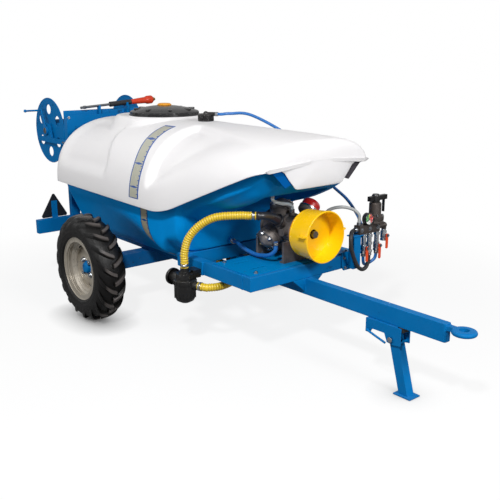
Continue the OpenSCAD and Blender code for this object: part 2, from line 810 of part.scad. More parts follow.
module tank_lower() {
    lip_z = 22;
    lip_t = 6;
    color(tank_blue) from_axle() {
        difference() {
            union() {
                difference() {
                    basin_form();
                    pump_bay();
                }
                intersection() {
                    shell_form(tank_wall + seat_gap);
                    slab_y(-shell_half, shell_half)
                        polygon(concat([for (p = edge_line) p + [0, lip_z]],
                            [for (i = [len(edge_line) - 1:-1:0]) edge_line[i] + [0, lip_z + lip_t]]));
                }
                bar_x(blue_port.y, blue_port.z, 34, front_wall_x - 4, blue_port.x);
            }
            difference() {
                basin_form(tank_wall);
                pump_bay(tank_wall);
            }
            bar_x(blue_port.y, blue_port.z, 10, front_wall_x - 40, blue_port.x + cut);
        }
        difference() {
            union() {
                translate([sump_x, sump_y, sump_pipe_z - 40])
                    cylinder(r = 42, h = bearer_top + 4 - sump_pipe_z + 40);
                bar_x(sump_y, sump_pipe_z, suction_d, sump_x, sump_out);
            }
            translate([sump_x, sump_y, sump_pipe_z - 34]) cylinder(r = 36, h = 200);
            bar_x(sump_y, sump_pipe_z, suction_d - 10, sump_x, sump_out + cut);
        }
    }
}

boss_top = tank_top + 10;
boss_r = lid_r + 11;
neck_t = 7;
fitting_x = 295;
fitting_y = 12;
fitting_z = tank_top - 2;
chin = [[150, seam_z + 150], [150, seam_z + 176], [161, seam_z + 192], [197, seam_z + 232],
        [217, seam_z + 258], [258, seam_z + 274], [330, seam_z + 278], [420, seam_z + 278],
        [420, seam_z + 150]];

module tank_upper() {
    boss_t = 7;
    color(shell_white) from_axle() difference() {
        union() {
            shell_form();
            translate([-lid_back, 0, tank_top - 60]) cylinder(r = boss_r, h = boss_top - tank_top + 60);
            translate([fitting_x, fitting_y, tank_top - 20]) cylinder(r = 50, h = fitting_z - tank_top + 20);
        }
        shell_form(tank_wall);
        translate([-lid_back, 0, tank_top - 70])
            cylinder(r = boss_r - boss_t, h = boss_top - tank_top + 70 - boss_t);
        translate([-lid_back, 0, tank_top - 60]) cylinder(r = neck_r + neck_t + seat_gap, h = 100);
        translate([fitting_x, fitting_y, tank_top - 60]) cylinder(r = 20, h = 100);
        slab_y(-shell_half - cut, shell_half + cut)
            polygon(concat(
                [for (p = edge_line) [min(p.x, nose_x) - (p.x < 0 ? cut : 0), edge_z(min(p.x, nose_x))]],
                [[nose_x, seam_z - 60], [-tank_rear - cut, seam_z - 60]]));
        both_sides() slab_x(nose_x - cut, tank_front + cut) polygon(chin);
    }
}

// Two dark patches behind the cut corners of the nose
module nose_vents() {
    color("#34363a") from_axle() both_sides()
        slab_x(nose_x, tank_front - tank_wall - seat_gap)
            polygon([[206, seam_z + 187], [306, seam_z + 283], [250, seam_z + 283],
                     [215, seam_z + 264], [195, seam_z + 238], [164, seam_z + 200]]);
}

neck_top = boss_top + 16;
lid_hinge = [-lid_back - lid_r - 10, boss_top + 12];
lid_seat = boss_top + 5 + seat_gap;
lid_pin_d = 8;

module filler_neck() {
    flange_h = 5;
    color("#2a2b2e") from_axle() {
        translate([-lid_back, 0, 0]) difference() {
            union() {
                translate([0, 0, boss_top - 48]) cylinder(r = neck_r + neck_t, h = neck_top - boss_top + 48);
                translate([0, 0, boss_top]) cylinder(r = lid_r + 8, h = flange_h);
            }
            translate([0, 0, boss_top - 60]) cylinder(r = neck_r, h = 120);
        }
        difference() {
            both_sides() slab_y(14, 24)
                polygon([for (p = [[-8, -12], [12, -12], [8.5, -1], [7.5, 4], [4, 7.8], [-4, 7.8], [-8, 4]])
                    lid_hinge + p]);
            translate([-lid_back, 0, boss_top - 1]) cylinder(r = lid_r + seat_gap, h = 60);
        }
        bar_y(lid_hinge.x, lid_hinge.y, lid_pin_d, -24, 24);
    }
}

module strainer_basket() {
    basket_r = neck_r - 12;
    basket_h = 224;
    basket_t = 3;
    color("#3a3c40") from_axle() translate([-lid_back, 0, neck_top - basket_h]) difference() {
        union() {
            cylinder(r = basket_r, h = basket_h);
            translate([0, 0, basket_h]) cylinder(r = neck_r + neck_t - 1, h = basket_t);
        }
        translate([0, 0, basket_t]) cylinder(r = basket_r - basket_t, h = basket_h + basket_t);
    }
}

lid_top = lid_seat + 18.7 + lid_dome;

module tank_lid() {
    lid_t = 4;
    shoulder_z = lid_seat + 18.7;
    color("#232427") from_axle() {
        translate([-lid_back, 0, 0]) rotate_extrude()
            polygon([[lid_r - 19, lid_seat], [lid_r, lid_seat], [lid_r, shoulder_z - 3],
                     [lid_r - 3, shoulder_z], [lid_r * 0.7, lid_top - lid_dome * 0.45],
                     [lid_r * 0.42, lid_top - lid_dome * 0.14], [44, lid_top], [12 + turn_gap, lid_top],
                     [12 + turn_gap, lid_top - lid_t], [44, lid_top - lid_t],
                     [lid_r * 0.42, lid_top - lid_dome * 0.14 - lid_t],
                     [lid_r * 0.7, lid_top - lid_dome * 0.45 - lid_t],
                     [lid_r - 19, shoulder_z - lid_t]]);
        difference() {
            slab_y(-13.7, 13.7)
                polygon([[lid_hinge.x - 6.2, lid_hinge.y - 2], [lid_hinge.x - 3.4, lid_hinge.y - 5.5],
                         [lid_hinge.x + 2, lid_hinge.y - 6.2], [lid_hinge.x + 20, lid_seat],
                         [lid_hinge.x + 20, lid_hinge.y + 7], [lid_hinge.x + 2, lid_hinge.y + 6.2],
                         [lid_hinge.x - 3.4, lid_hinge.y + 5.5], [lid_hinge.x - 6.2, lid_hinge.y + 2]]);
            bar_y(lid_hinge.x, lid_hinge.y, lid_pin_d + 2 * turn_gap, -20, 20);
        }
    }
}

module lid_vent() {
    color("#e8a51c") from_axle() translate([-lid_back, 0, lid_top]) {
        rotate_extrude() polygon([[0, 0], [38, 0], [38, 7], [32, 12], [0, 14]]);
        translate([0, 0, -12]) cylinder(r = 12, h = 13);
    }
}

return_start = [340, 42, tank_top + 36];

module return_fitting() {
    color("#1b1b1d") from_axle() translate([fitting_x, fitting_y, fitting_z]) {
        rotate_extrude() polygon([[0, 0], [42, 0], [42, 8], [38, 10], [42, 12], [42, 22], [38, 24],
                                  [42, 26], [42, 34], [34, 40], [0, 40]]);
        translate([0, 0, 38]) sphere(r = 15);
        along([0, 0, 38], return_start - [fitting_x, fitting_y, fitting_z])
            cylinder(r = 11, h = norm(return_start - [fitting_x, fitting_y, fitting_z + 38]));
    }
}

// ---- Hose reel ----

reel_x = -reel_back;
disc_in = drum_w / 2;
post_y = disc_in + 12;
post_w = 55;
post_top = deck_z + 588;
disc_t_reel = 3;
arm_t = 12;
arm_z = reel_z - 75;
arm_h = 33;

module reel_frame() {
    panel_t = 4;
    back = bar_front - bar_t;
    tray_z = post_top;
    color(frame_blue) from_axle() {
        both_sides() translate([0, post_y - post_w, bar_z + light_bar_h]) difference() {
            translate([back, 0, 0]) cube([bar_t, post_w, post_top - bar_z - light_bar_h]);
            translate([back + tube_wall, tube_wall, tube_wall])
                cube([bar_t - 2 * tube_wall, post_w - 2 * tube_wall,
                      post_top - bar_z - light_bar_h - 2 * tube_wall]);
        }
        difference() {
            translate([bar_front, -post_y, post_top - 160]) cube([panel_t, 2 * post_y, 177]);
            for (y = [-240:120:240]) bar_x(y, post_top - 70, 14, bar_front - 10, bar_front + 10);
        }
        translate([back, -post_y, tray_z]) cube([bar_t + panel_t, 2 * post_y, panel_t]);
        translate([back, -post_y, tray_z]) cube([panel_t, 2 * post_y, 45]);
        both_sides() difference() {
            slab_y(post_y, post_y + arm_t) polygon(concat(
                [[reel_x - 152, arm_z], [bar_front, arm_z], [bar_front, arm_z + arm_h],
                 [reel_x + 62, arm_z + arm_h]],
                [for (a = [0:15:180]) [reel_x + 50 * cos(a), reel_z + 50 * sin(a)]],
                [[reel_x - 62, arm_z + arm_h], [reel_x - 152, arm_z + arm_h]]));
            bar_y(reel_x, reel_z, reel_axle_d + 2 * turn_gap, post_y - cut, post_y + arm_t + cut);
        }
        for (s = gun_clips) difference() {
            translate([gun_x - s[1] - 5, s[0] - 7, tray_z])
                cube([2 * s[1] + 10, 14, gun_z(s[0]) - tray_z + 2]);
            translate([gun_x, s[0] - 20, gun_z(s[0] - 20)]) rotate([gun_tilt - 90, 0, 0])
                cylinder(r = s[1] + seat_gap, h = 40);
            translate([gun_x - s[1] - 2, s[0] - 20, gun_z(s[0])]) cube([2 * s[1] + 4, 40, 40]);
        }
    }
}

module reel_axle() {
    axle_y = post_y + arm_t + 16;
    color("#7d7f82") from_axle() bar_y(reel_x, reel_z, reel_axle_d, -axle_y, axle_y - 10);
}

module reel_drum() {
    bore = reel_axle_d + 2 * turn_gap;
    color(frame_blue) from_axle() difference() {
        union() {
            both_sides() difference() {
                bar_y(reel_x, reel_z, 2 * disc_r, disc_in, disc_in + disc_t_reel);
                for (a = [30:60:330])
                    translate([reel_x, 0, reel_z]) rotate([0, a, 0])
                        bar_y(137, 0, 62, disc_in - cut, disc_in + disc_t_reel + cut);
            }
            difference() {
                bar_y(reel_x, reel_z, 2 * core_r, -disc_in, disc_in);
                bar_y(reel_x, reel_z, 2 * core_r - 8, 4 - disc_in, disc_in - 4);
            }
        }
        bar_y(reel_x, reel_z, bore, -disc_in - 10, disc_in + 10);
    }
}

module reel_crank() {
    arm_y = -post_y - arm_t - seat_gap;
    grip = [reel_x - crank_throw * cos(64.5), reel_z + crank_throw * sin(64.5)];
    color(frame_blue) from_axle() {
        difference() {
            union() {
                bar_y(reel_x, reel_z, 56, arm_y - 14, arm_y);
                translate([0, arm_y, 0]) hull() {
                    bar_y(reel_x, reel_z, 34, -12, -4, $fn = 32);
                    bar_y(grip.x, grip.y, 24, -12, -4, $fn = 32);
                }
            }
            bar_y(reel_x, reel_z, reel_axle_d + 2 * turn_gap, arm_y - 20, arm_y + cut);
        }
    }
    color("#d9d7d2") from_axle() {
        bar_y(grip.x, grip.y, 12, arm_y - 12 - handle_l, arm_y - 11);
        translate([grip.x, arm_y - 12 - handle_l, grip.y]) sphere(r = 10);
    }
}

// ---- Spray gun on the tray above the reel ----

gun_x = -768;
gun_back = -190;
gun_rear_z = post_top + 60;
gun_tilt = 3.7;
gun_joints = [210, 368, 533, 556];
// Clips: place along Y and the radius of what they hold
gun_clips = [[-60, 8], [140, 17]];
function gun_z(y) = gun_rear_z + (y - gun_back) * tan(gun_tilt);

module on_gun() {
    from_axle() translate([gun_x, gun_back, gun_rear_z]) rotate([gun_tilt - 90, 0, 0]) children();
}

module gun_barrel() {
    color("#a9abad") on_gun() {
        cylinder(r = 8, h = gun_joints[0]);
        cylinder(r = 6, h = gun_joints[2] + 10);
    }
    color("#b8923f") on_gun() translate([0, 0, gun_joints[2]]) {
        cylinder(r = 13, h = 14);
        translate([0, 0, 14]) cylinder(r = 9, h = gun_joints[3] - gun_joints[2] - 14);
    }
}

module gun_grip() {
    color("#1f1f21") on_gun() difference() {
        translate([0, 0, gun_joints[0]]) union() {
            cylinder(r = 17, h = gun_joints[1] - gun_joints[0] - seat_gap);
        }
        cylinder(r = 6 + turn_gap, h = 700);
    }
}

module gun_sleeve() {
    color("#e2521f") on_gun() difference() {
        translate([0, 0, gun_joints[1]]) rotate_extrude()
            polygon([[6 + turn_gap, 0], [15, 0], [19, 60], [21, 110], [27, 125], [27, 158], [23, 164.7],
                     [6 + turn_gap, 164.7]]);
        for (a = [0:45:315]) rotate([0, 0, a])
            translate([29, 0, gun_joints[1] + 122]) cylinder(r = 4, h = 60);
    }
}

// ---- Pump ----

case_back = pump_x - 75;
case_front = pump_x + 150;
foot_h = shaft_z - 45 - platform_top;
chamber_x = pump_x + 111;
chamber_dir = 50;
head_dirs = [90, 210, 330];
intake_x = pump_x + 80;
intake_r = 100;
outlet = [pump_x + 105, -95, shaft_z];

// Children drawn along +Y from the shaft's axis, turned to a direction round it
module round_shaft(x, dir) {
    from_axle() translate([x, 0, shaft_z]) rotate([dir, 0, 0]) children();
}

module pump_body() {
    foot_half = 100;
    color("#8d9094") {
        from_axle() difference() {
            union() {
                bar_x(0, shaft_z, 2 * case_r, case_back, case_front);
                for (x = [case_back, case_front - 35])
                    translate([x, -foot_half, platform_top]) cube([14, 2 * foot_half, foot_h]);
                for (y = [-85, 85], x = [case_back, case_front - 50])
                    translate([x, y - 15, platform_top]) cube([29, 30, 8]);
                bar([outlet.x, 0, outlet.z], outlet, 36);
                bar([1012, -10, shaft_z], [1012, -10, clear_end.z], 26);
                bar([1040, 40, shaft_z - 1], grey_start, 24);
            }
            bar_x(0, shaft_z, journal_d + 2 * turn_gap, shaft_back - seat_gap, case_front + cut);
        }
        for (dir = head_dirs) round_shaft(pump_x, dir) bar_y(0, 0, 2 * head_r, 0, head_seat);
        round_shaft(chamber_x, chamber_dir) bar_y(0, 0, 52, 30, head_seat);
        round_shaft(intake_x, 150) bar_y(0, 0, 40, 0, intake_r);
    }
}

module pump_heads() {
    disc_h = 32;
    dome_h = 20;
    color("#a3a6aa") for (dir = head_dirs) round_shaft(pump_x, dir)
        translate([0, head_seat, 0]) rotate([-90, 0, 0]) {
            rotate_extrude() polygon([[0, 0], [head_r, 0], [head_r, disc_h - 10], [head_r - 4, disc_h - 6],
                [head_r - 16, disc_h - 4], [head_r - 20, disc_h + 6], [head_r * 0.4, disc_h + dome_h - 3],
                [12, disc_h + dome_h], [0, disc_h + dome_h]]);
            for (k = [0:5]) rotate([0, 0, k * 60 + 30])
                translate([head_r - 9, 0, disc_h - 9]) hex_head(13, 11);
        }
}

module air_chamber() {
    metal_h = 32;
    cap_h = 55;
    round_shaft(chamber_x, chamber_dir) translate([0, head_seat, 0]) rotate([-90, 0, 0]) {
        color("#8d9094") rotate_extrude() polygon([[0, 0], [chamber_r - 14, 0], [chamber_r, 14],
            [chamber_r, metal_h], [0, metal_h]]);
        color("#c8281e") translate([0, 0, metal_h]) rotate_extrude()
            polygon([[0, 0], [chamber_r, 0], [chamber_r, 8], [chamber_r - 4, 10],
                [chamber_r - 4, cap_h * 0.55], [chamber_r * 0.76, cap_h * 0.8],
                [chamber_r * 0.42, cap_h * 0.95], [10, cap_h], [0, cap_h]]);
    }
}

module suction_manifold() {
    start = [intake_x, -intake_r * cos(30), shaft_z + intake_r * sin(30)];
    knee = start + 50 * [0, -cos(30), sin(30)];
    color("#3f4145") from_axle() {
        bar(start, knee, 46);
        translate(knee) sphere(d = 52);
        bar(knee, manifold_knee, 42);
        translate(manifold_knee) sphere(d = 47);
        bar(manifold_knee, last(upper_route), suction_d);
    }
}

shaft_back = case_front - 38;
spline_l = 80;
journal_d = shaft_d + 5;
shaft_end = case_front + 90;

module pump_shaft() {
    spline_w = 4;
    color("#b4b6b9") from_axle() difference() {
        union() {
            bar_x(0, shaft_z, journal_d, shaft_back, shaft_end - spline_l);
            bar_x(0, shaft_z, shaft_d, shaft_back, shaft_end);
        }
        difference() {
            bar_x(0, shaft_z, shaft_d + 10, shaft_end - 52, shaft_end - 48);
            bar_x(0, shaft_z, shaft_d - 5, shaft_end - 60, shaft_end - 40);
        }
        for (k = [0:5]) translate([0, 0, shaft_z]) rotate([k * 60, 0, 0])
            translate([shaft_end - 50, -spline_w / 2, shaft_d / 2 - 3]) cube([100, spline_w, 10]);
    }
}

guard_x = case_front + 28;

module shaft_guard() {
    wall_x = 40;
    back_r = guard_r - 10;
    ear_r = guard_r + 20;
    color("#f3c617") {
        from_axle() translate([guard_x, 0, shaft_z]) rotate([0, 90, 0]) rotate_extrude()
            polygon([[back_r, 0], [guard_r, guard_l], [guard_r - guard_wall, guard_l],
                [back_r - guard_wall + 10 * wall_x / guard_l, wall_x + guard_wall],
                [22.5, wall_x + guard_wall], [22.5, wall_x],
                [back_r - guard_wall + 10 * wall_x / guard_l, wall_x], [back_r - guard_wall, 0]]);
        for (dir = [8, 172]) round_shaft(guard_x + 100, dir) difference() {
            translate([-20, guard_r - 6, -4]) cube([40, ear_r - guard_r + 6, 8]);
            translate([0, guard_r + 12, -10]) cylinder(d = 8, h = 20);
        }
    }
}

// Four struts carry the guard from a flange on the crankcase
module guard_ring() {
    ring_r = guard_r - 18;
    color("#e4571b") from_axle() translate([0, 0, shaft_z]) {
        difference() {
            bar_x(0, 0, 2 * ring_r, case_front + 17, guard_x - seat_gap);
            bar_x(0, 0, 2 * (ring_r - 28), case_front, guard_x + 10);
        }
        difference() {
            bar_x(0, 0, 2 * (ring_r - 20), case_front, case_front + 18);
            bar_x(0, 0, 2 * (case_r - 8), case_front - 10, guard_x + 10);
        }
        difference() {
            bar_x(0, 0, 2 * (guard_r - 10 - guard_wall - seat_gap), guard_x - seat_gap, guard_x + 3);
            bar_x(0, 0, 2 * (ring_r - 28), case_front, guard_x + 10);
        }
    }
}

// ---- Suction filter ----

filter_x = 730;
filter_y = plate_y - 75;
filter_z = deck_z - 20;
port_dir = [cos(20), sin(20), 0];

module suction_filter() {
    head_d = bowl_d - 28;
    bowl_h = 120;
    bowl_top = filter_z - 57;
    color("#19191b") from_axle() {
        translate([filter_x, filter_y, 0]) {
            translate([0, 0, filter_z - 27]) cylinder(d = suction_d + 4, h = 27);
            translate([0, 0, filter_z - 33]) cylinder(d = 58, h = 16);
            translate([0, 0, bowl_top]) cylinder(d = head_d, h = 30);
            translate([0, 0, bowl_top - bowl_h]) rotate_extrude()
                polygon([[0, 0], [bowl_d / 2 - 34, 3], [bowl_d / 2 - 14, 14], [bowl_d / 2 - 5, 32],
                    [bowl_d / 2 - 3, bowl_h - 26], [bowl_d / 2, bowl_h - 24], [bowl_d / 2, bowl_h - 2],
                    [bowl_d / 2 - 2, bowl_h], [0, bowl_h]]);
        }
        translate([filter_x - 30, filter_y + 30, bowl_top + 2]) cube([60, plate_y - filter_y - 30, 40]);
        bar([filter_x, filter_y, bowl_top - 10], [filter_x - 98, filter_y, bowl_top - 10], 62);
        bar([filter_x, filter_y, bowl_top - 10], [filter_x - 108, filter_y, bowl_top - 10], 44);
        bar([filter_x, filter_y, last(lower_route).z], last(lower_route), suction_d + 2);
    }
}

// ---- Hoses: the points of each route, from one end to the other, with heights from the deck ----

function from_deck(route) = [for (p = route) p + [0, 0, deck_z]];

upper_route = from_deck([[730, -450, -20], [730, -450, 20], [731, -450, 53], [748, -438, 123],
    [790, -405, 188], [850, -352, 233], [930, -275, 245], [960, -245, 245], [988, -217, 245]]);
lower_route = from_deck([[470, -90, -102], [510, -90, -102], [545, -90, -102], [620, -98, -102],
    [720, -135, -104], [795, -195, -106], [840, -255, -106], [862, -315, -105], [866, -362, -103],
    [850, -402, -102], [843, -409, -102], [805, -423, -102]]);
manifold_knee = [1005, -200, deck_z + 245];
clear_end = [1012, -10, deck_z + 238];
grey_start = [1040, 98, deck_z + 170];
blue_route = from_deck([[1030, -130, 113], [1030, -130, 93], [1024, -132, 66], [985, -138, 40],
    [904, -134, 24], [830, -128, 26], [748, -118, 38], [690, -90, 38], [650, -71, 30], [638, -69, 29],
    [620.7, -69, 29]]);
black_route = from_deck([[1150, 303, 127], [1150, 285, 127], [1158, 258, 125], [1180, 228, 103],
    [1184, 232, 42], [1184, 275, -42], [1180, 315, -72], [1162, 365, -78], [1151, 395, -60],
    [1150, 400, -27], [1150, 400, -2.6]]);
u_route = from_deck([[1150, 358, -2.6], [1150, 358, -22], [1147, 364, -47], [1136, 384, -66],
    [1132, 407, -72], [1136, 430, -64], [1147, 450, -47], [1150, 456, -22], [1150, 456, -2.6]]);
grey_route = from_deck([[1040, 98, 170], [1040, 118, 176], [1040, 138, 182], [1046, 166, 202],
    [1062, 202, 232], [1095, 250, 242], [1130, 292, 230], [1149, 316, 203], [1150, 318, 184],
    [1150, 318, 166], [1150, 318, 148]]);
clear_route = from_deck([[1000, -128, 337], [1000, -128, 324], [1001, -122, 306], [1007, -84, 290],
    [1012, -34, 280], [1012, -12, 266], [1012, -10, 252], [1012, -10, 238]]);
top_route = from_deck([[340, 42, 662], [355, 52, 662], [370, 62, 662], [404, 96, 666], [469, 188, 657],
    [600, 332, 553], [690, 432, 428], [800, 455, 308], [950, 440, 238], [1048, 416, 174], [1088, 402, 136],
    [1108, 400, 128], [1119, 400, 128], [1130, 400, 128]]);

module suction_hoses() {
    color("#e9d22f") from_axle() {
        ribbed_hose(upper_route, suction_d, suction_d - 2 * (suction_wall + rib_h), rib_count);
        ribbed_hose(lower_route, suction_d, suction_d - 2 * (suction_wall + rib_h), rib_count);
    }
}

module pressure_hoses() {
    from_axle() {
        color("#1d6fb5") hose(blue_route, pressure_d);
        color("#161616") hose(black_route, pressure_d);
        color("#1d6fb5") hose(u_route, thin_d);
        color("#9a9d9c") hose(grey_route, thin_d);
        color("#cfd6cf") hose(clear_route, thin_d);
        color("#1d6fb5") hose(top_route, thin_d);
    }
}

// ---- Regulator: places along Y and Z of what stands on the post ----

reg_x = 1150;
reg_base = deck_z + 103;
reg_top = reg_base + 45;
column_y = 435;
valve_ys = [358, 400, 456];
arm_y = 510;
gauge_y = 357;
gauge_z = reg_top + 1 + gauge_d / 2;
gauge_x = reg_x + 8;
gauge_t = 28;
lever_x = reg_x + 22;
lever_t = 5;
// Places of the three levers' pivots along Y and Z
lever_pivots = [[358, reg_base - 75], [456, reg_base - 75], [510, reg_base - 31]];

module regulator_post() {
    foot_t = 8;
    post_y0 = 270;
    post_w = 50;
    post_d = 37;
    cap_t = 6;
    front = frame_front + foot_t;
    color(frame_blue) from_axle() {
        slab_x(frame_front, front)
            polygon([[225, deck_z + 18], [335, deck_z + 18], [335, rail_z + 16], [319, rail_z - 9],
                     [241, rail_z - 9], [225, rail_z + 16]]);
        difference() {
            translate([front, post_y0, rail_z]) cube([post_d, post_w, reg_base - cap_t - rail_z]);
            translate([front + 4, post_y0 + 4, rail_z - cut])
                cube([post_d - 8, post_w - 8, reg_base - rail_z]);
        }
        translate([frame_front, 262, reg_base - cap_t]) cube([post_d + foot_t + 4, 74, cap_t]);
    }
}

module regulator_body() {
    color("#77797c") from_axle() {
        translate([reg_x - 20, 304, reg_base]) cube([40, 152, reg_top - reg_base]);
        translate([reg_x, column_y, reg_top]) rotate_extrude()
            polygon([[0, 0], [46, 0], [46, 8], [42, 12], [46, 16], [46, 34], [38, 40], [column_d / 2, 44],
                     [column_d / 2, 98], [column_d / 2 - 5, 104], [0, 104]]);
        bar_y(reg_x, reg_base + 20, 26, 456, arm_y);
        translate([reg_x, arm_y, reg_base + 20]) sphere(r = 16);
        translate([reg_x, arm_y, reg_base]) cylinder(d = 26, h = 20);
    }
}

module pressure_gauge() {
    color("#c9cacc") from_axle() {
        difference() {
            bar_x(gauge_y, gauge_z, gauge_d, gauge_x, gauge_x + gauge_t);
            bar_x(gauge_y, gauge_z, gauge_d - 7, gauge_x + gauge_t - 5, gauge_x + gauge_t + cut);
        }
        bar_x(gauge_y, gauge_z, 6, gauge_x, gauge_x + gauge_t - 4);
        translate([reg_x, gauge_y, reg_top]) cylinder(d = 14, h = gauge_z - reg_top + 7);
        bar_x(gauge_y, gauge_z, 14, reg_x, gauge_x + cut);
    }
}

module gauge_needle() {
    face = gauge_x + gauge_t - 5 + seat_gap;
    color("#c8281e") from_axle() translate([face, gauge_y, gauge_z]) rotate([135, 0, 0]) difference() {
        union() {
            rotate([0, 90, 0]) cylinder(d = 10, h = 2);
            translate([0, -1.2, -8]) cube([1.2, 2.4, gauge_d / 2 - 1]);
        }
        rotate([0, 90, 0]) translate([0, 0, -cut]) cylinder(d = 6 + 2 * turn_gap, h = 2);
    }
}

handle_z = reg_top + 104 + seat_gap;

module pressure_handle() {
    color("#191a1c") from_axle() {
        translate([reg_x, column_y + 2, handle_z]) {
            rotate_extrude() polygon([[0, 0], [20, 0], [20, 34], [16, 41], [0, 41]]);
            translate([-10, -52, 8]) cube([20, 130, 24]);
            translate([-6, 57, -56]) cube([12, 8, 66]);
        }
    }
}

module ball_valves() {
    color("#dfe2e4") from_axle() {
        for (k = [0:2]) {
            y = k == 2 ? arm_y : [valve_ys[0], valve_ys[2]][k];
            z = lever_pivots[k][1];
            top = reg_base;
            bottom = z - 30;
            translate([reg_x, y, bottom]) cylinder(d = 24, h = top - bottom);
            translate([reg_x, y, z - 14]) cylinder(r = 16, h = 28);
            translate([reg_x, y, top - 22]) hex_head(30, 12);
            translate([reg_x, y, bottom]) hex_head(30, 12);
            bar_x(y, z, 14, reg_x, lever_x - 1);
            bar_x(y, z, 7, reg_x, lever_x + lever_t + 4);
        }
        translate([reg_x, valve_ys[1], reg_base - 105]) cylinder(d = 24, h = 105);
        for (h = [25, 65, 105]) translate([reg_x, valve_ys[1], reg_base - h]) hex_head(30, 12);
    }
}

module valve_lever(k) {
    color("#e8541a") from_axle() translate([lever_x, lever_pivots[k][0], lever_pivots[k][1]]) difference() {
        slab_x(0, lever_t) {
            translate([-lever_w / 2, 8 - lever_l]) square([lever_w, lever_l]);
            translate([0, 8 - lever_l]) circle(d = lever_w);
        }
        bar_x(0, 0, 7 + 2 * turn_gap, -cut, 2 * lever_t);
    }
}
module valve_lever_1() valve_lever(0);
module valve_lever_2() valve_lever(1);
module valve_lever_3() valve_lever(2);

// Hose clamps and crimped sleeves at the ends of the hoses
module hose_fittings() {
    band = 12;
    sleeve = 18;
    from_axle() {
        color("#b9bbbe") for (r = [upper_route, lower_route])
            for (e = [[r[0], r[1]], [last(r), r[len(r) - 2]]])
                collar(e[0] + 8 * unit(e[1] - e[0]), e[1], suction_d + 2 * seat_gap, suction_d + 6, band);
        color("#a7a9ac") for (r = [[blue_route, pressure_d], [black_route, pressure_d], [u_route, thin_d],
                                   [grey_route, thin_d], [clear_route, thin_d], [top_route, thin_d]])
            for (e = [[r[0][0], r[0][1]], [last(r[0]), r[0][len(r[0]) - 2]]])
                collar(e[0] + seat_gap * unit(e[1] - e[0]), e[1], r[1] + 2 * seat_gap, r[1] + 8,
                       min(sleeve, norm(e[1] - e[0]) - 1));
    }
}

side_rails();
crossmembers();
tank_bearers();
pump_platform();
axle();
wheel_bearings();
drawbar();
towing_eye();
stand_bracket();
stand_buffer();
stand_pin();
stand_bail();
stand_leg();
tyre_right();
tyre_left();
rim_right();
rim_left();
hub_right();
hub_left();
hub_cap_right();
hub_cap_left();
wheel_bolts_right();
wheel_bolts_left();
tank_lower();
tank_upper();
filler_neck();
strainer_basket();
tank_lid();
lid_vent();
nose_vents();
return_fitting();
rear_light_bar();
warning_triangles();
reel_frame();
reel_axle();
reel_drum();
reel_crank();
gun_barrel();
gun_grip();
gun_sleeve();
pump_body();
pump_heads();
air_chamber();
suction_manifold();
pump_shaft();
shaft_guard();
guard_ring();
suction_filter();
suction_hoses();
pressure_hoses();
hose_fittings();
regulator_post();
regulator_body();
pressure_gauge();
gauge_needle();
pressure_handle();
ball_valves();
valve_lever_1();
valve_lever_2();
valve_lever_3();
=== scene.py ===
"""Finishes, smooth shells, fittings, light and camera for a towed orchard sprayer.

Places are written in millimetres from the wheel axle, as the part's source has them, and
carried to the model's own frame in metres by at().
"""
import json
import logging
import math
from dataclasses import dataclass
from enum import Enum
from functools import cache
from typing import Callable, Optional, Sequence

import bmesh
import bpy
from mathutils import Matrix, Vector

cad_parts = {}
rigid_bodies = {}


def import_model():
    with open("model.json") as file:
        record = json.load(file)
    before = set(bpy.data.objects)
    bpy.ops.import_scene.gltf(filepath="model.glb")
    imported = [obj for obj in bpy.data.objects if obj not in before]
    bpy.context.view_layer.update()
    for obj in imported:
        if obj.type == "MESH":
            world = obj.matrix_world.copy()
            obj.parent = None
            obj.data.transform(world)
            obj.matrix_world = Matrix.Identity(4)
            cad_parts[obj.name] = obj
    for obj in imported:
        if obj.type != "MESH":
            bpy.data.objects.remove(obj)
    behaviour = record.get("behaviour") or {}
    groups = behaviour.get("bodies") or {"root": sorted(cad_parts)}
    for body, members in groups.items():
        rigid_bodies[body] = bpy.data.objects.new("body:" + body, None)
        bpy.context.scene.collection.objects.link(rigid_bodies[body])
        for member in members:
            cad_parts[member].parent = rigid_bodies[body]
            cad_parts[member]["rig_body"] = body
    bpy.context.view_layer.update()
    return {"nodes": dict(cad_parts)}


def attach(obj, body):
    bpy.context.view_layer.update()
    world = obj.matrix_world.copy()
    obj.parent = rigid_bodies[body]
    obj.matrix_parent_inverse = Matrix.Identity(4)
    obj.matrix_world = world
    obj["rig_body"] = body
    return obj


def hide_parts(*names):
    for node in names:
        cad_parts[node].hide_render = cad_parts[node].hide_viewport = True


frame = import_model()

LOG = logging.getLogger("sprayer")
AXLE_X = -405.75
AXLE_Z = 295.0
HALF_TRACK = 578.0
TURN = 2 * math.pi
Point = tuple[float, float, float]
Spot = tuple[Point, Point]
Profile = Sequence[tuple[float, float]]
Piece = bpy.types.Object
Socket = bpy.types.NodeSocket
Tree = bpy.types.NodeTree
Faces = list[tuple[int, ...]]


def at(x: float, y: float, z: float) -> Vector:
    """A place measured in millimetres from the axle, in the model's own metres."""
    return Vector(((x + AXLE_X) / 1000, y / 1000, z / 1000))


def linear(colour: str) -> tuple[float, float, float, float]:
    """A written colour such as 0a6fb5 as the linear RGBA that shaders take."""
    parts = [int(colour[i:i + 2], 16) / 255 for i in (0, 2, 4)]
    r, g, b = (c / 12.92 if c < 0.04045 else ((c + 0.055) / 1.055) ** 2.4 for c in parts)
    return r, g, b, 1.0


def smooth(x: float, low: float, high: float) -> float:
    """A soft step from 0 at low to 1 at high."""
    t = min(max((x - low) / (high - low), 0.0), 1.0)
    return t * t * (3 - 2 * t)


# ---- Nodes ----

class Coordinates(Enum):
    """What a finish's pattern is laid out on."""

    OBJECT = "Object"
    SURFACE = "UV"
    NORMAL = "Normal"


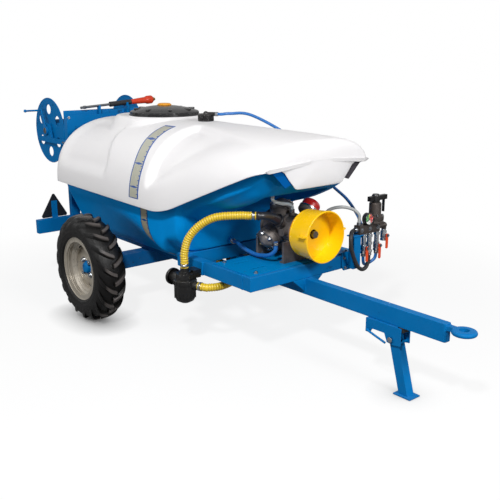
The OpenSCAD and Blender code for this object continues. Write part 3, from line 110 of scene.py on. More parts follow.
class Kit:
    """Adds nodes to a tree; an input takes another node's socket or a plain value."""

    def __init__(self, tree: Tree) -> None:
        """Work in this tree."""
        self.tree = tree

    def link(self, value: object, target: Socket) -> None:
        """Join a socket to the target, or write a plain value into it."""
        if isinstance(value, Socket):
            self.tree.links.new(value, target)
        else:
            target.default_value = value

    def add(self, kind: str, inputs: Optional[dict[object, object]] = None,
            **values: object) -> bpy.types.Node:
        """Add a node, set its plain properties, then its inputs by name or index."""
        node = self.tree.nodes.new(kind)
        for key, value in values.items():
            setattr(node, key, value)
        for label, value in (inputs or {}).items():
            self.link(value, node.inputs[label])
        return node

    def math(self, kind: str, *values: object, clamp: bool = False) -> Socket:
        """A Math node."""
        node = self.add("ShaderNodeMath", dict(enumerate(values)), operation=kind, use_clamp=clamp)
        return node.outputs[0]

    def place(self, kind: Coordinates) -> Socket:
        """The coordinates that a pattern is laid out on."""
        return self.add("ShaderNodeTexCoord").outputs[kind.value]

    def split(self, vector: Socket) -> list[Socket]:
        """X, Y and Z of a vector."""
        return list(self.add("ShaderNodeSeparateXYZ", {0: vector}).outputs)

    def about(self, place: Socket, middle: Point) -> list[Socket]:
        """X, Y and Z measured from a middle."""
        moved = self.add("ShaderNodeMapping", {"Location": [-v for v in middle], "Vector": place})
        return self.split(moved.outputs[0])

    def length(self, a: Socket, b: Socket) -> Socket:
        """The length that two measures at right angles make."""
        return self.math("SQRT", self.math("ADD", self.math("POWER", a, 2.0), self.math("POWER", b, 2.0)))

    def within(self, value: Socket, low: float, high: float) -> Socket:
        """1 between two bounds and 0 elsewhere."""
        above = self.math("GREATER_THAN", value, low)
        return self.math("MULTIPLY", above, self.math("LESS_THAN", value, high))

    def off_half(self, value: Socket) -> Socket:
        """How far a value lies from a half."""
        return self.math("ABSOLUTE", self.math("SUBTRACT", value, 0.5))

    def mix(self, mask: Socket, first: object, second: object) -> Socket:
        """Mix two colours, each a socket or linear RGBA, by a mask."""
        node = self.add("ShaderNodeMix", {"Factor": mask}, data_type="RGBA")
        for label, value in (("A", first), ("B", second)):
            self.link(value, next(s for s in node.inputs if s.name == label and s.type == "RGBA"))
        return next(s for s in node.outputs if s.type == "RGBA")

    def effect(self, made: Tree, place: Socket, **values: float) -> Socket:
        """Place a shared group with its own values and return its output."""
        return self.add("ShaderNodeGroup", {"Vector": place, **values}, node_tree=made).outputs[0]

    def seen(self) -> tuple[Socket, bpy.types.NodeOutputs]:
        """1 on what the camera sees, straight or through clear plastic, and all kinds of ray."""
        way = self.add("ShaderNodeLightPath").outputs
        return self.math("MAXIMUM", way["Is Camera Ray"], way["Is Transmission Ray"]), way

    def blend(self, mask: Socket, first: bpy.types.Node, second: bpy.types.Node, end: str) -> None:
        """Put two shaders, mixed by a mask, on the tree's output node."""
        both = self.add("ShaderNodeMixShader", {0: mask, 1: first.outputs[0], 2: second.outputs[0]})
        self.link(both.outputs[0], self.tree.nodes[end].inputs["Surface"])


class Group(Kit):
    """A node group that works on a Vector or on a Geometry, with more inputs by name."""

    def __init__(self, name: str, main: str, result: str, **inputs: object) -> None:
        """Open a group.

        Args:
            name: the group's name.
            main: Vector for a shader group, Geometry for a Geometry Nodes tree.
            result: the name of its one output.
            inputs: a default for each further input; None stands for a material.
        """
        kind = "GeometryNodeTree" if main == "Geometry" else "ShaderNodeTree"
        super().__init__(bpy.data.node_groups.new(name, kind))
        self.socket(main, "INPUT", main)
        kinds = {int: "Int", float: "Float", type(None): "Material"}
        for label, value in inputs.items():
            made = self.socket(label, "INPUT", kinds[type(value)])
            if value is not None:
                made.default_value = value
        self.socket(result, "OUTPUT", main if main == result else "Float")
        self.start = self.add("NodeGroupInput").outputs

    def socket(self, label: str, way: str, kind: str) -> bpy.types.NodeTreeInterfaceSocket:
        """Add an input or output to the group's face."""
        return self.tree.interface.new_socket(name=label, in_out=way, socket_type=f"NodeSocket{kind}")

    def noise(self, scale: object, detail: float = 2.0, rough: float = 0.5) -> Socket:
        """A noise field on the group's Vector."""
        node = self.add("ShaderNodeTexNoise", {
            "Vector": self.start["Vector"], "Scale": scale, "Detail": detail, "Roughness": rough})
        return node.outputs["Fac"]

    def close(self, value: Socket) -> Tree:
        """Put a value out and return the tree."""
        self.add("NodeGroupOutput", {0: value})
        return self.tree

    def close_geometry(self, geometry: Socket) -> Tree:
        """Realise the instances, set the material and close."""
        real = self.add("GeometryNodeRealizeInstances", {"Geometry": geometry})
        paint = self.add("GeometryNodeSetMaterial", {"Geometry": real.outputs["Geometry"],
                                                     "Material": self.start["Material"]})
        return self.close(paint.outputs["Geometry"])


@cache
def mottle_group() -> Tree:
    """Soft cloudy change over a surface: Mask runs from 0 to 1, Contrast sharpens it."""
    kit = Group("cloudy_change", "Vector", "Mask", Scale=6.0, Contrast=1.5)
    field = kit.math("SUBTRACT", kit.noise(kit.start["Scale"], detail=4.0, rough=0.6), 0.5)
    return kit.close(kit.math("ADD", kit.math("MULTIPLY", field, kit.start["Contrast"]), 0.5, clamp=True))


@cache
def grain_group() -> Tree:
    """Fine surface grain: broad orange peel with a finer grit laid over it."""
    kit = Group("surface_grain", "Vector", "Height", Scale=300.0, Grit=0.4)
    finer = 3.7
    peel = kit.noise(kit.start["Scale"], detail=1.0, rough=0.55)
    fine = kit.noise(kit.math("MULTIPLY", kit.start["Scale"], finer))
    return kit.close(kit.math("ADD", peel, kit.math("MULTIPLY", fine, kit.start["Grit"])))


@cache
def dust_group() -> Tree:
    """Dust that settles on faces that look up, broken into patches."""
    kit = Group("settled_dust", "Vector", "Mask", Scale=14.0, Amount=0.3)
    lean, gain, bare, sharp = 0.25, 0.8, 0.32, 2.2
    upward = kit.split(kit.place(Coordinates.NORMAL))[2]
    up = kit.math("MULTIPLY", kit.math("ADD", upward, lean), gain, clamp=True)
    cloud = kit.math("SUBTRACT", kit.noise(kit.start["Scale"], detail=5.0, rough=0.65), bare)
    thick = kit.math("MULTIPLY", up, kit.math("MULTIPLY", cloud, sharp, clamp=True))
    return kit.close(kit.math("MULTIPLY", thick, kit.start["Amount"], clamp=True))


@cache
def wear_group() -> Tree:
    """Rubbed and chipped places: small islands that Amount makes more of."""
    kit = Group("rubbed_places", "Vector", "Mask", Scale=40.0, Amount=0.2)
    region, share, gain, sharp = 3.0, 0.6, 0.22, 18.0
    broad = kit.math("MULTIPLY", kit.noise(region), share)
    both = kit.math("ADD", kit.noise(kit.start["Scale"], detail=6.0, rough=0.7), broad)
    limit = kit.math("SUBTRACT", 1.0, kit.math("MULTIPLY", kit.start["Amount"], gain))
    return kit.close(kit.math("MULTIPLY", kit.math("SUBTRACT", both, limit), sharp, clamp=True))


# ---- Finishes ----

@dataclass(frozen=True)
class Finish:
    """A plain finish: paint, moulding, rubber or metal, with its own grain and change of tone.

    Colours are written as sRGB hex; scales are per metre.
    """

    name: str
    slot: str
    colour: str
    shade: str
    rough: float = 0.45
    rough_swing: float = 0.12
    metal: float = 0.0
    coat: float = 0.0
    mottle: float = 5.0
    contrast: float = 1.6
    grain: float = 350.0
    grit: float = 0.4
    bump: float = 0.08
    dust: float = 0.0
    dust_colour: str = "b9b1a2"
    wear: float = 0.0
    wear_colour: str = "8a8d90"
    specular: float = 0.5

    @cache
    def material(self) -> bpy.types.Material:
        """The finish's material, built on first use."""
        made = bpy.data.materials.new(self.name)
        made.use_nodes = True
        kit = Kit(made.node_tree)
        place = kit.place(Coordinates.OBJECT)
        mask = kit.effect(mottle_group(), place, Scale=self.mottle, Contrast=self.contrast)
        tone = self.pattern(kit, place, kit.mix(mask, linear(self.colour), linear(self.shade)))
        if self.wear > 0:
            rubbed = kit.effect(wear_group(), place, Scale=38.0, Amount=self.wear)
            tone = kit.mix(rubbed, tone, linear(self.wear_colour))
        if self.dust > 0:
            settled = kit.effect(dust_group(), place, Scale=16.0, Amount=self.dust)
            tone = kit.mix(settled, tone, linear(self.dust_colour))
        spread = kit.add("ShaderNodeMapRange", {
            "Value": mask, "To Min": max(self.rough - self.rough_swing, 0.03),
            "To Max": min(self.rough + self.rough_swing, 1.0)})
        grain = kit.effect(grain_group(), place, Scale=self.grain, Grit=self.grit)
        bump = kit.add("ShaderNodeBump", {"Strength": self.bump, "Distance": 0.002,
                                          "Height": self.relief(kit, place, grain)})
        shader = kit.tree.nodes["Principled BSDF"]
        values = {"Base Color": tone, "Roughness": spread.outputs["Result"],
                  "Normal": bump.outputs["Normal"], "Metallic": self.metal, "Coat Weight": self.coat,
                  "Coat Roughness": 0.12, "Specular IOR Level": self.specular, **self.constants()}
        for label, value in values.items():
            kit.link(value, shader.inputs[label])
        return made

    def pattern(self, kit: Kit, place: Socket, tone: Socket) -> Socket:
        """A finish of its own kind lays its pattern over the tone here."""
        return tone

    def relief(self, kit: Kit, place: Socket, height: Socket) -> Socket:
        """A finish of its own kind adds its relief to the grain here."""
        return height

    def constants(self) -> dict[str, object]:
        """A finish of its own kind gives more of the shader's constants here."""
        return {}


@dataclass(frozen=True)
class Braided(Finish):
    """A hose with a woven braid: diamonds along and round it, on the piece's own UV."""

    turns: float = 16.0
    pitch: float = 130.0
    phase: float = 0.0
    thread: str = "ffffff"
    show: float = 0.5

    def weave(self, kit: Kit) -> Socket:
        """1 on the threads and 0 between them."""
        u, v, _ = kit.split(kit.place(Coordinates.SURFACE))
        along = kit.math("ADD", kit.math("MULTIPLY", u, self.pitch * TURN), self.phase)
        across = kit.math("MULTIPLY", v, self.turns * TURN)
        waves = [kit.math("SINE", kit.math(way, along, across)) for way in ("ADD", "SUBTRACT")]
        valley, sharp = 0.55, 3.0
        over = kit.math("SUBTRACT", kit.math("MAXIMUM", *waves), valley)
        return kit.math("MULTIPLY", over, sharp, clamp=True)

    def pattern(self, kit: Kit, place: Socket, tone: Socket) -> Socket:
        """Lay the thread's colour over the hose."""
        return kit.mix(kit.math("MULTIPLY", self.weave(kit), self.show), tone, linear(self.thread))

    def relief(self, kit: Kit, place: Socket, height: Socket) -> Socket:
        """Raise the threads a little."""
        rise = 0.8
        return kit.math("ADD", height, kit.math("MULTIPLY", self.weave(kit), rise))


@dataclass(frozen=True)
class DialFace(Finish):
    """The gauge's face: green, yellow and red sectors, by angles in radians, and fine marks."""

    middle: Point = (0.0, 0.0, 0.0)
    sectors: tuple[tuple[float, float, str], ...] = (
        (1.7, 3.3, "2f9a3c"), (-3.3, -2.45, "2f9a3c"), (1.4, 1.75, "e8c020"), (-0.95, 1.45, "c8231d"))
    marks: tuple[float, float] = (0.0215, 0.0255)

    def pattern(self, kit: Kit, place: Socket, tone: Socket) -> Socket:
        """Paint the sectors and the marks by the angle round the dial's middle."""
        _, y, z = kit.about(place, self.middle)
        turn = kit.math("ARCTAN2", z, y)
        for low, high, colour in self.sectors:
            tone = kit.mix(kit.within(turn, low, high), tone, linear(colour))
        count, edge = 24.0, 0.93
        tick = kit.math("GREATER_THAN", kit.math("COSINE", kit.math("MULTIPLY", turn, count)), edge)
        band = kit.within(kit.length(y, z), *self.marks)
        return kit.mix(kit.math("MULTIPLY", tick, band), tone, linear("161616"))


@dataclass(frozen=True)
class LevelStrip(Finish):
    """The see-through level strip: blue borders, cross bars and small marks, on its own UV."""

    bars: float = 3.0
    border: str = "1d4f9b"

    def pattern(self, kit: Kit, place: Socket, tone: Socket) -> Socket:
        """Lay borders, cross bars and graduation marks over the strip's ground."""
        side_from, end_from = 0.41, 0.489
        taper, thin = 0.09, 0.004
        marks_per_bar, mark_from, mark_edge = 5, 0.78, 0.86
        across, along, _ = kit.split(kit.place(Coordinates.SURFACE))
        off = kit.off_half(across)
        side = kit.math("GREATER_THAN", off, side_from)
        ends = kit.math("GREATER_THAN", kit.off_half(along), end_from)
        step = kit.off_half(kit.math("FRACT", kit.math("MULTIPLY", along, self.bars)))
        wide = kit.math("MULTIPLY", kit.math("SUBTRACT", 0.5, off), taper)
        bar = kit.math("LESS_THAN", step, kit.math("ADD", wide, thin))
        wave = kit.math("COSINE", kit.math("MULTIPLY", along, self.bars * marks_per_bar * TURN))
        edge = kit.math("GREATER_THAN", across, mark_from)
        mark = kit.math("MULTIPLY", edge, kit.math("GREATER_THAN", wave, mark_edge))
        drawn = kit.math("MAXIMUM", kit.math("MAXIMUM", side, ends), kit.math("MAXIMUM", bar, mark))
        return kit.mix(drawn, tone, linear(self.border))


@dataclass(frozen=True)
class TreadRubber(Finish):
    """Tyre rubber: mould rings on the sidewall, and lug tops paler beyond the carcass, partly rubbed wear
    and partly a painted highlight.
    """

    middle: Point = (0.0, 0.0, 0.0)
    carcass: float = 0.281
    # The lug tops' paler colour: rubbed wear, and also a painted highlight on the tread.
    rubbed: str = "4d4846"

    def radius(self, kit: Kit, place: Socket) -> Socket:
        """Distance from the wheel's axis, in metres."""
        x, _, z = kit.about(place, self.middle)
        return kit.length(x, z)

    def pattern(self, kit: Kit, place: Socket, tone: Socket) -> Socket:
        """Make the tops of the lugs paler than the rest: rubbed wear with a painted highlight."""
        sharp = 110.0
        over = kit.math("SUBTRACT", self.radius(kit, place), self.carcass)
        return kit.mix(kit.math("MULTIPLY", over, sharp, clamp=True), tone, linear(self.rubbed))

    def relief(self, kit: Kit, place: Socket, height: Socket) -> Socket:
        """Add thin rings round the wheel's axis to the grain."""
        close, rise = 900.0, 0.25
        rings = kit.math("SINE", kit.math("MULTIPLY", self.radius(kit, place), close))
        return kit.math("ADD", height, kit.math("MULTIPLY", rings, rise))


@dataclass(frozen=True)
class Clear(Finish):
    """Clear soft plastic, as on the thin sight hose and the gauge's window."""

    see_through: float = 0.8

    def constants(self) -> dict[str, object]:
        """Let light through."""
        return {"Transmission Weight": self.see_through, "IOR": 1.38}


@dataclass(frozen=True)
class Shell(Finish):
    """The translucent white moulding of the tank's upper shell."""

    def constants(self) -> dict[str, object]:
        """Let a little light scatter under the skin."""
        return {"Subsurface Weight": 0.12, "Subsurface Radius": (1.0, 0.95, 0.9), "Subsurface Scale": 0.02}


@dataclass(frozen=True)
class TwoSided(Finish):
    """The corner panels of the nose: one colour on the left and another on the right; on the nose the right
    one is a blue darkened as painted shade.
    """

    # The right side's colour; on the nose it is a blue darkened as painted shade.
    right: str = "ffffff"

    def pattern(self, kit: Kit, place: Socket, tone: Socket) -> Socket:
        """Lay the right side's colour where Y is below 0."""
        return kit.mix(kit.math("LESS_THAN", kit.split(place)[1], 0.0), tone, linear(self.right))


HOSE_PITCH = 12.0

FRAME_PAINT = Finish("frame_paint", "frame_paint", "0070b2", "0068a8", rough=0.42, specular=0.07, mottle=3.0,
                     grain=420.0, bump=0.07, dust=0.04, wear=0.12, wear_colour="0a4a78")
# A lighter copy of the frame's blue: painted light on the platform's sunlit upward face.
PLATFORM_PAINT = Finish("platform_paint", "platform_paint", "007aba", "0072b0", rough=0.42, specular=0.07,
                        mottle=4.0, dust=0.0, wear=0.1, wear_colour="2a5f86")
AXLE_PAINT = Finish("axle_paint", "frame_paint", "0068ab", "005a97", rough=0.5, specular=0.12, dust=0.15,
                    wear=0.3, wear_colour="1c4566")
STEEL = Finish("bare_steel", "bare_steel", "8b8e92", "6d7074", rough=0.34, metal=1.0, mottle=22.0,
               grain=700.0)
ZINC = Finish("zinc_plate", "zinc", "c3c6ca", "989ca1", rough=0.24, metal=1.0, mottle=30.0, grain=900.0,
              bump=0.04)
CHROME = Finish("valve_chrome", "valve_chrome", "d9dde0", "b4b9bd", rough=0.14, rough_swing=0.06, metal=1.0,
                mottle=26.0, bump=0.03)
BRASS = Finish("brass_tip", "bare_steel", "b98f3e", "94702c", rough=0.3, metal=1.0, mottle=30.0)
BUFFER = Finish("buffer_rubber", "buffer_rubber", "17171a", "222226", rough=0.75, bump=0.15, dust=0.3)
RIM_PAINT = Finish("rim_paint", "rim_paint", "b9b2a6", "a39b8d", rough=0.34, metal=0.4, coat=0.15,
                   mottle=7.0, contrast=1.6, grain=500.0, dust=0.1, dust_colour="9a9383", wear=0.05,
                   wear_colour="8f897c")
WHITE_SHELL = Shell("tank_white", "tank_white", "f1efef", "ebe9ea", rough=0.46, rough_swing=0.08, mottle=2.2,
                    contrast=1.2, grain=260.0, grit=0.3, bump=0.05, dust=0.05, dust_colour="d9d5cf")
BLUE_SHELL = Finish("tank_blue", "tank_blue", "008cd8", "0083ce", rough=0.46, rough_swing=0.06, mottle=2.6,
                    contrast=1.3, grain=260.0, grit=0.3, bump=0.06, specular=0.05, dust=0.0)
BLACK_PLASTIC = Finish("black_plastic", "black_plastic", "0a0a0b", "121214", rough=0.26, grain=600.0,
                       bump=0.09, dust=0.08, mottle=9.0)
LID_PLASTIC = Finish("lid_plastic", "black_plastic", "151517", "212123", rough=0.3, coat=0.3, grain=420.0,
                     bump=0.12, dust=0.05, mottle=8.0)
VENT_YELLOW = Finish("vent_yellow", "vent_yellow", "e9a01c", "d98c12", rough=0.42, bump=0.07, dust=0.1)
# The right side's blue panel is darker than the basin's paint: painted shade from the overhanging white
# shell.
NOSE_GREY = TwoSided("nose_grey", "nose_grey", "4a474c", "3d3b40", rough=0.5, bump=0.08, specular=0.05,
                     right="00559a")
TRIANGLE_BLACK = Finish("triangle_black", "triangle_black", "131315", "1d1d20", rough=0.5, bump=0.08,
                        dust=0.1)
SLEEVE_ORANGE = Finish("sleeve_orange", "sleeve_orange", "dc3f14", "c83410", rough=0.36, coat=0.1, bump=0.06)
LEVER_ORANGE = Finish("lever_orange", "lever_orange", "ea5220", "da4416", rough=0.34, coat=0.2, bump=0.05,
                      wear=0.4, wear_colour="9b4a30")
PUMP_CAST = Finish("pump_cast", "pump_cast", "7a726e", "454040", rough=0.42, rough_swing=0.14, metal=0.2,
                   mottle=14.0, contrast=2.6, grain=520.0, grit=0.8, bump=0.28, dust=0.12)
HEAD_CAST = Finish("head_cast", "pump_cast", "8b837e", "544e4b", rough=0.46, rough_swing=0.13, metal=0.2,
                   mottle=12.0, contrast=3.0, grain=480.0, grit=0.8, bump=0.25)
VALVE_CAST = Finish("valve_cast", "pump_cast", "564e4a", "3c3633", rough=0.42, metal=0.5, mottle=18.0,
                    contrast=2.4, grain=560.0, grit=0.8, bump=0.25)
MANIFOLD_BLACK = Finish("manifold_black", "black_plastic", "1b1a1d", "2a292c", rough=0.3, coat=0.15,
                        bump=0.08)
CHAMBER_RED = Finish("chamber_red", "chamber_red", "d0211c", "b81a17", rough=0.32, coat=0.2, bump=0.05)
GUARD_YELLOW = Finish("guard_yellow", "guard_yellow", "ffce0a", "fcc205", rough=0.26, rough_swing=0.06,
                      coat=0.3, mottle=3.5, grain=300.0, bump=0.05)
RING_ORANGE = Finish("ring_orange", "guard_yellow", "e9551a", "d84812", rough=0.4, bump=0.06)
# With no turns and this phase, the darker thread colour lies in the narrow valleys between the ribs: painted
# shade in the creases, not a braid.
SUCTION_HOSE = Braided("hose_yellow", "hose_yellow", "e3c42e", "d4b022", rough=0.3, coat=0.2, bump=0.2,
                       turns=0.0, pitch=1000 / HOSE_PITCH, phase=-math.pi / 2, thread="a08526", show=0.65)
BLUE_HOSE = Braided("hose_blue", "hose_dark", "1466b4", "0f5aa3", rough=0.34, coat=0.1, bump=0.12, turns=8.0,
                    pitch=190.0, thread="4e95d6", show=0.3)
BLACK_HOSE = Braided("hose_black", "hose_dark", "161618", "202023", rough=0.5, bump=0.25, turns=9.0,
                     pitch=200.0, thread="3a3a3e", show=0.5)
GREY_HOSE = Braided("hose_grey", "hose_dark", "a4a6a6", "8f9292", rough=0.4, bump=0.12, turns=8.0,
                    pitch=180.0, thread="c9caca", show=0.35)
SIGHT_HOSE = Clear("hose_clear", "hose_dark", "dfe6e8", "cfd8db", rough=0.16, rough_swing=0.02, bump=0.0,
                   see_through=0.5)
GAUGE_CASE = Finish("gauge_case", "valve_chrome", "3a3b3e", "232426", rough=0.28, metal=0.4, bump=0.05)
WINDOW = Clear("gauge_window", "valve_chrome", "ffffff", "f4f6f6", rough=0.04, rough_swing=0.01, bump=0.0,
               see_through=0.98, specular=0.05)
NEEDLE = Finish("needle_red", "needle_red", "151515", "202020", rough=0.5)
GRIP_BLACK = Finish("grip_black", "black_plastic", "1c1c1f", "27272a", rough=0.55, bump=0.2, grain=900.0)
STRIP_WHITE = LevelStrip("level_strip", "tank_white", "b9b8a9", "a9a998", rough=0.3, coat=0.2, mottle=9.0,
                         bars=3.0)
STRIP_BLUE = LevelStrip("level_strip_low", "tank_blue", "9a9583", "87816f", rough=0.35, mottle=9.0, bars=2.0,
                        border="0d3f78")


# ---- Making pieces ----

def own(made: Piece, body: str, finish: Finish, replaced: Sequence[str] = ()) -> Piece:
    """Finish a piece: its material, the body it moves with, and the nodes it stands for."""
    if not made.data.materials:
        made.data.materials.append(finish.material())
    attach(made, body)
    if replaced:
        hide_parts(*replaced)
    LOG.info("piece %s on %s: %d faces", made.name, body, len(made.data.polygons))
    return made


def placed(name: str, data: bpy.types.ID) -> Piece:
    """A linked object at the origin."""
    made = bpy.data.objects.new(name, data)
    bpy.context.scene.collection.objects.link(made)
    return made


def opened(*data: bpy.types.Mesh) -> bmesh.types.BMesh:
    """A work mesh with everything that some meshes hold."""
    work = bmesh.new()
    for one in data:
        work.from_mesh(one)
    return work


def written(work: bmesh.types.BMesh, data: bpy.types.Mesh) -> bpy.types.Mesh:
    """Write a work mesh into a mesh and free it."""
    work.to_mesh(data)
    work.free()
    return data


def discard(made: Piece) -> None:
    """Remove an object and its mesh."""
    data = made.data
    bpy.data.objects.remove(made)
    bpy.data.meshes.remove(data)


def modify(made: Piece, name: str, kind: str, **values: object) -> bpy.types.Modifier:
    """Add a modifier and set its values."""
    added = made.modifiers.new(name, kind)
    for key, value in values.items():
        setattr(added, key, value)
    return added


def baked(made: Piece) -> bpy.types.Mesh:
    """The plain mesh that an object's modifiers make."""
    return bpy.data.meshes.new_from_object(made.evaluated_get(bpy.context.evaluated_depsgraph_get()))


def soften(data: bpy.types.Mesh, crease: float) -> None:
    """Shade a mesh smooth, with edges over the angle, in degrees, kept sharp."""
    data.shade_smooth()
    data.set_sharp_from_angle(angle=math.radians(crease))


def mesh_object(name: str, points: Sequence[Vector], faces: Sequence[Sequence[int]], crease: float = 35.0,
                uv: Optional[dict[int, tuple[float, float]]] = None, closed: bool = True,
                merge: float = 1e-6) -> Piece:
    """A mesh object at the origin from points in metres.

    Args:
        name: the piece's name.
        points: its vertices.
        faces: index lists.
        crease: faces that meet at more than this angle, in degrees, stay sharp.
        uv: a surface coordinate for each vertex, where the finish needs one.
        closed: whether its outside can be worked out from the shape.
        merge: points nearer than this, in metres, become one; 0 keeps them all.

    Returns:
        The linked object.
    """
    data = bpy.data.meshes.new(name)
    data.from_pydata([tuple(p) for p in points], [], [list(f) for f in faces])
    if uv:
        layer = data.uv_layers.new(name="UVMap")
        for loop in data.loops:
            layer.data[loop.index].uv = uv[loop.vertex_index]
    work = opened(data)
    if merge:
        bmesh.ops.remove_doubles(work, verts=work.verts, dist=merge)
    if closed:
        bmesh.ops.recalc_face_normals(work, faces=work.faces)
    soften(written(work, data), crease)
    return placed(name, data)


def grid_faces(rows: int, wide: int, closed: bool = False) -> Faces:
    """The faces of a grid of points; a closed one joins each row's end to its start."""
    return [(a + k, a + (k + 1) % wide, a + wide + (k + 1) % wide, a + wide + k)
            for a in range(0, (rows - 1) * wide, wide) for k in range(wide if closed else wide - 1)]


def flipped(face: Sequence[int]) -> tuple[int, ...]:
    """The same face turned over, with the same first point."""
    return face[0], *face[:0:-1]


def joined(name: str, parts: Sequence[Piece]) -> Piece:
    """Several mesh objects as one, without a material."""
    data = written(opened(*(part.data for part in parts)), bpy.data.meshes.new(name))
    for part in parts:
        discard(part)
    return placed(name, data)


def circle(r: float, h: float, size: float, count: int = 12, flat: float = 1.0) -> list[tuple[float, float]]:
    """A round profile of a radius size about (r, h), pressed along the height by flat."""
    turns = [k * math.pi / (count / 2) for k in range(count)]
    return [(r + size * math.cos(a), h + size * flat * math.sin(a)) for a in turns]


def lathe(name: str, profile: Profile, place: Matrix, steps: int = 64, closed_loop: bool = True,
          crease: float = 32.0) -> Piece:
    """Turn a profile of (radius, height) in millimetres round +Z, and carry it by place.

    A closed loop meets its own start; an open one runs from axis to axis.
    """
    points, faces, rows = [], [], []
    for r, h in profile:
        if abs(r) < 1e-6:
            rows.append([len(points)] * steps)
            points.append(Vector((0, 0, h / 1000)))
        else:
            rows.append(list(range(len(points), len(points) + steps)))
            for k in range(steps):
                a = TURN * k / steps
                points.append(Vector((r / 1000 * math.cos(a), r / 1000 * math.sin(a), h / 1000)))
    for one, two in zip(rows, rows[1:] + ([rows[0]] if closed_loop else [])):
        for k in range(steps):
            m = (k + 1) % steps
            loop = list(dict.fromkeys((one[k], one[m], two[m], two[k])))
            if len(loop) > 2:
                faces.append(loop)
    return mesh_object(name, [place @ p for p in points], faces, crease)


def facing(place: Vector, towards: Sequence[float]) -> Matrix:
    """A matrix that stands +Z on place and points it towards a direction."""
    turn = Vector((0, 0, 1)).rotation_difference(Vector(towards).normalized()).to_matrix().to_4x4()
    return Matrix.Translation(place) @ turn


def curve_through(route: Sequence[Point], steps: int) -> list[Vector]:
    """A smooth line through the points of a route, in metres, as the part's source draws it."""
    p = [at(*q) for q in route]
    line = []
    for i in range(len(p) - 1):
        a, b, c, d = p[max(i - 1, 0)], p[i], p[i + 1], p[min(i + 2, len(p) - 1)]
        for k in range(steps):
            t = k / steps
            line.append((2 * b + (c - a) * t + (2 * a - 5 * b + 4 * c - d) * t * t
                         + (3 * b - a - 3 * c + d) * t * t * t) / 2)
    return line + [p[-1]]


def sweep(name: str, line: Sequence[Vector], radius: Callable[[float], float], sides: int = 16) -> Piece:
    """A closed round tube along a line in metres, with a surface coordinate along and round it.

    radius gives millimetres at a distance in metres from the start.
    """
    points, uv = [], {}
    before = Vector((0, 0, 1))
    run = 0.0
    for i, p in enumerate(line):
        heading = (line[min(i + 1, len(line) - 1)] - line[max(i - 1, 0)]).normalized()
        if i == 0 and abs(heading.z) > 0.9:
            before = Vector((1, 0, 0))
        before = (before - heading * before.dot(heading)).normalized()
        other = heading.cross(before)
        run += (p - line[i - 1]).length if i else 0.0
        for k in range(sides + 1):
            a = TURN * k / sides
            uv[len(points)] = (run, k / sides)
            points.append(p + radius(run) / 1000 * (math.cos(a) * before + math.sin(a) * other))
    faces = grid_faces(len(line), sides + 1)
    for start, place, along in ((0, line[0], 0.0), ((len(line) - 1) * (sides + 1), line[-1], run)):
        uv[len(points)] = (along, 0.5)
        for k in range(start, start + sides):
            face = (len(points), k, k + 1)
            faces.append(face if start else flipped(face))
        points.append(place)
    return mesh_object(name, points, faces, 50.0, uv, merge=1e-7)


def block(low: Point, high: Point, soft: float) -> Piece:
    """A box with soft corners, from its lowest and highest corner."""
    work = bmesh.new()
    bmesh.ops.create_cube(work, size=1.0)
    one, two = at(*low), at(*high)
    for v in work.verts:
        v.co = Vector([one[i] + (v.co[i] + 0.5) * (two[i] - one[i]) for i in range(3)])
    bmesh.ops.bevel(work, geom=work.edges[:], offset=soft / 1000, segments=3, affect="EDGES", profile=0.5)
    return placed("block", written(work, bpy.data.meshes.new("block")))


def dress(node: str, finish: Finish) -> None:
    """Give a CAD node its finish."""
    target = frame["nodes"][node]
    if not target.material_slots:
        target.data.materials.append(finish.material())
    for place in target.material_slots:
        place.material = finish.material()
    LOG.info("node %s dressed in %s", node, finish.name)


def rounded_copy(node: str, finish: Finish, width: float, angle: float = 38.0, segments: int = 2) -> Piece:
    """A copy of a node with softly broken edges, which then stands for it.

    Args:
        node: the CAD node.
        finish: its finish.
        width: the broken edge in millimetres.
        angle: only edges sharper than this, in degrees, are broken.
        segments: steps across the broken edge.

    Returns:
        The new piece.
    """
    source = frame["nodes"][node]
    name = node + "_rounded"
    work = opened(source.data)
    bmesh.ops.remove_doubles(work, verts=work.verts, dist=2e-5)
    bmesh.ops.dissolve_limit(work, angle_limit=math.radians(1.0), verts=work.verts, edges=work.edges)
    data = written(work, bpy.data.meshes.new(name))
    soften(data, angle)
    made = placed(name, data)
    modify(made, "broken_edges", "BEVEL", width=width / 1000, segments=segments, limit_method="ANGLE",
           angle_limit=math.radians(angle), miter_outer="MITER_ARC", harden_normals=True)
    return own(made, source["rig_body"], finish, [node])


def round_all(*rows: tuple[str, Finish, float] | tuple[str, Finish, float, float]) -> None:
    """Rounded copies from rows of node, finish, width and, where it isn't the usual one, angle."""
    for row in rows:
        rounded_copy(*row)


# ---- Geometry Nodes ----

@cache
def ring_tree() -> Tree:
    """Copies of the incoming geometry turned evenly round the Z axis: Count and Phase."""
    kit = Group("ring_of_copies", "Geometry", "Geometry", Count=12, Phase=0.0, Material=None)
    points = kit.add("GeometryNodePoints", {"Count": kit.start["Count"]})
    turn = kit.math("DIVIDE", TURN, kit.start["Count"])
    index = kit.add("GeometryNodeInputIndex").outputs[0]
    angle = kit.math("ADD", kit.math("MULTIPLY", index, turn), kit.start["Phase"])
    euler = kit.add("ShaderNodeCombineXYZ", {"Z": angle})
    rotation = kit.add("FunctionNodeEulerToRotation", {0: euler.outputs[0]})
    copies = kit.add("GeometryNodeInstanceOnPoints", {
        "Points": points.outputs[0], "Instance": kit.start["Geometry"], "Rotation": rotation.outputs[0]})
    return kit.close_geometry(copies.outputs["Instances"])


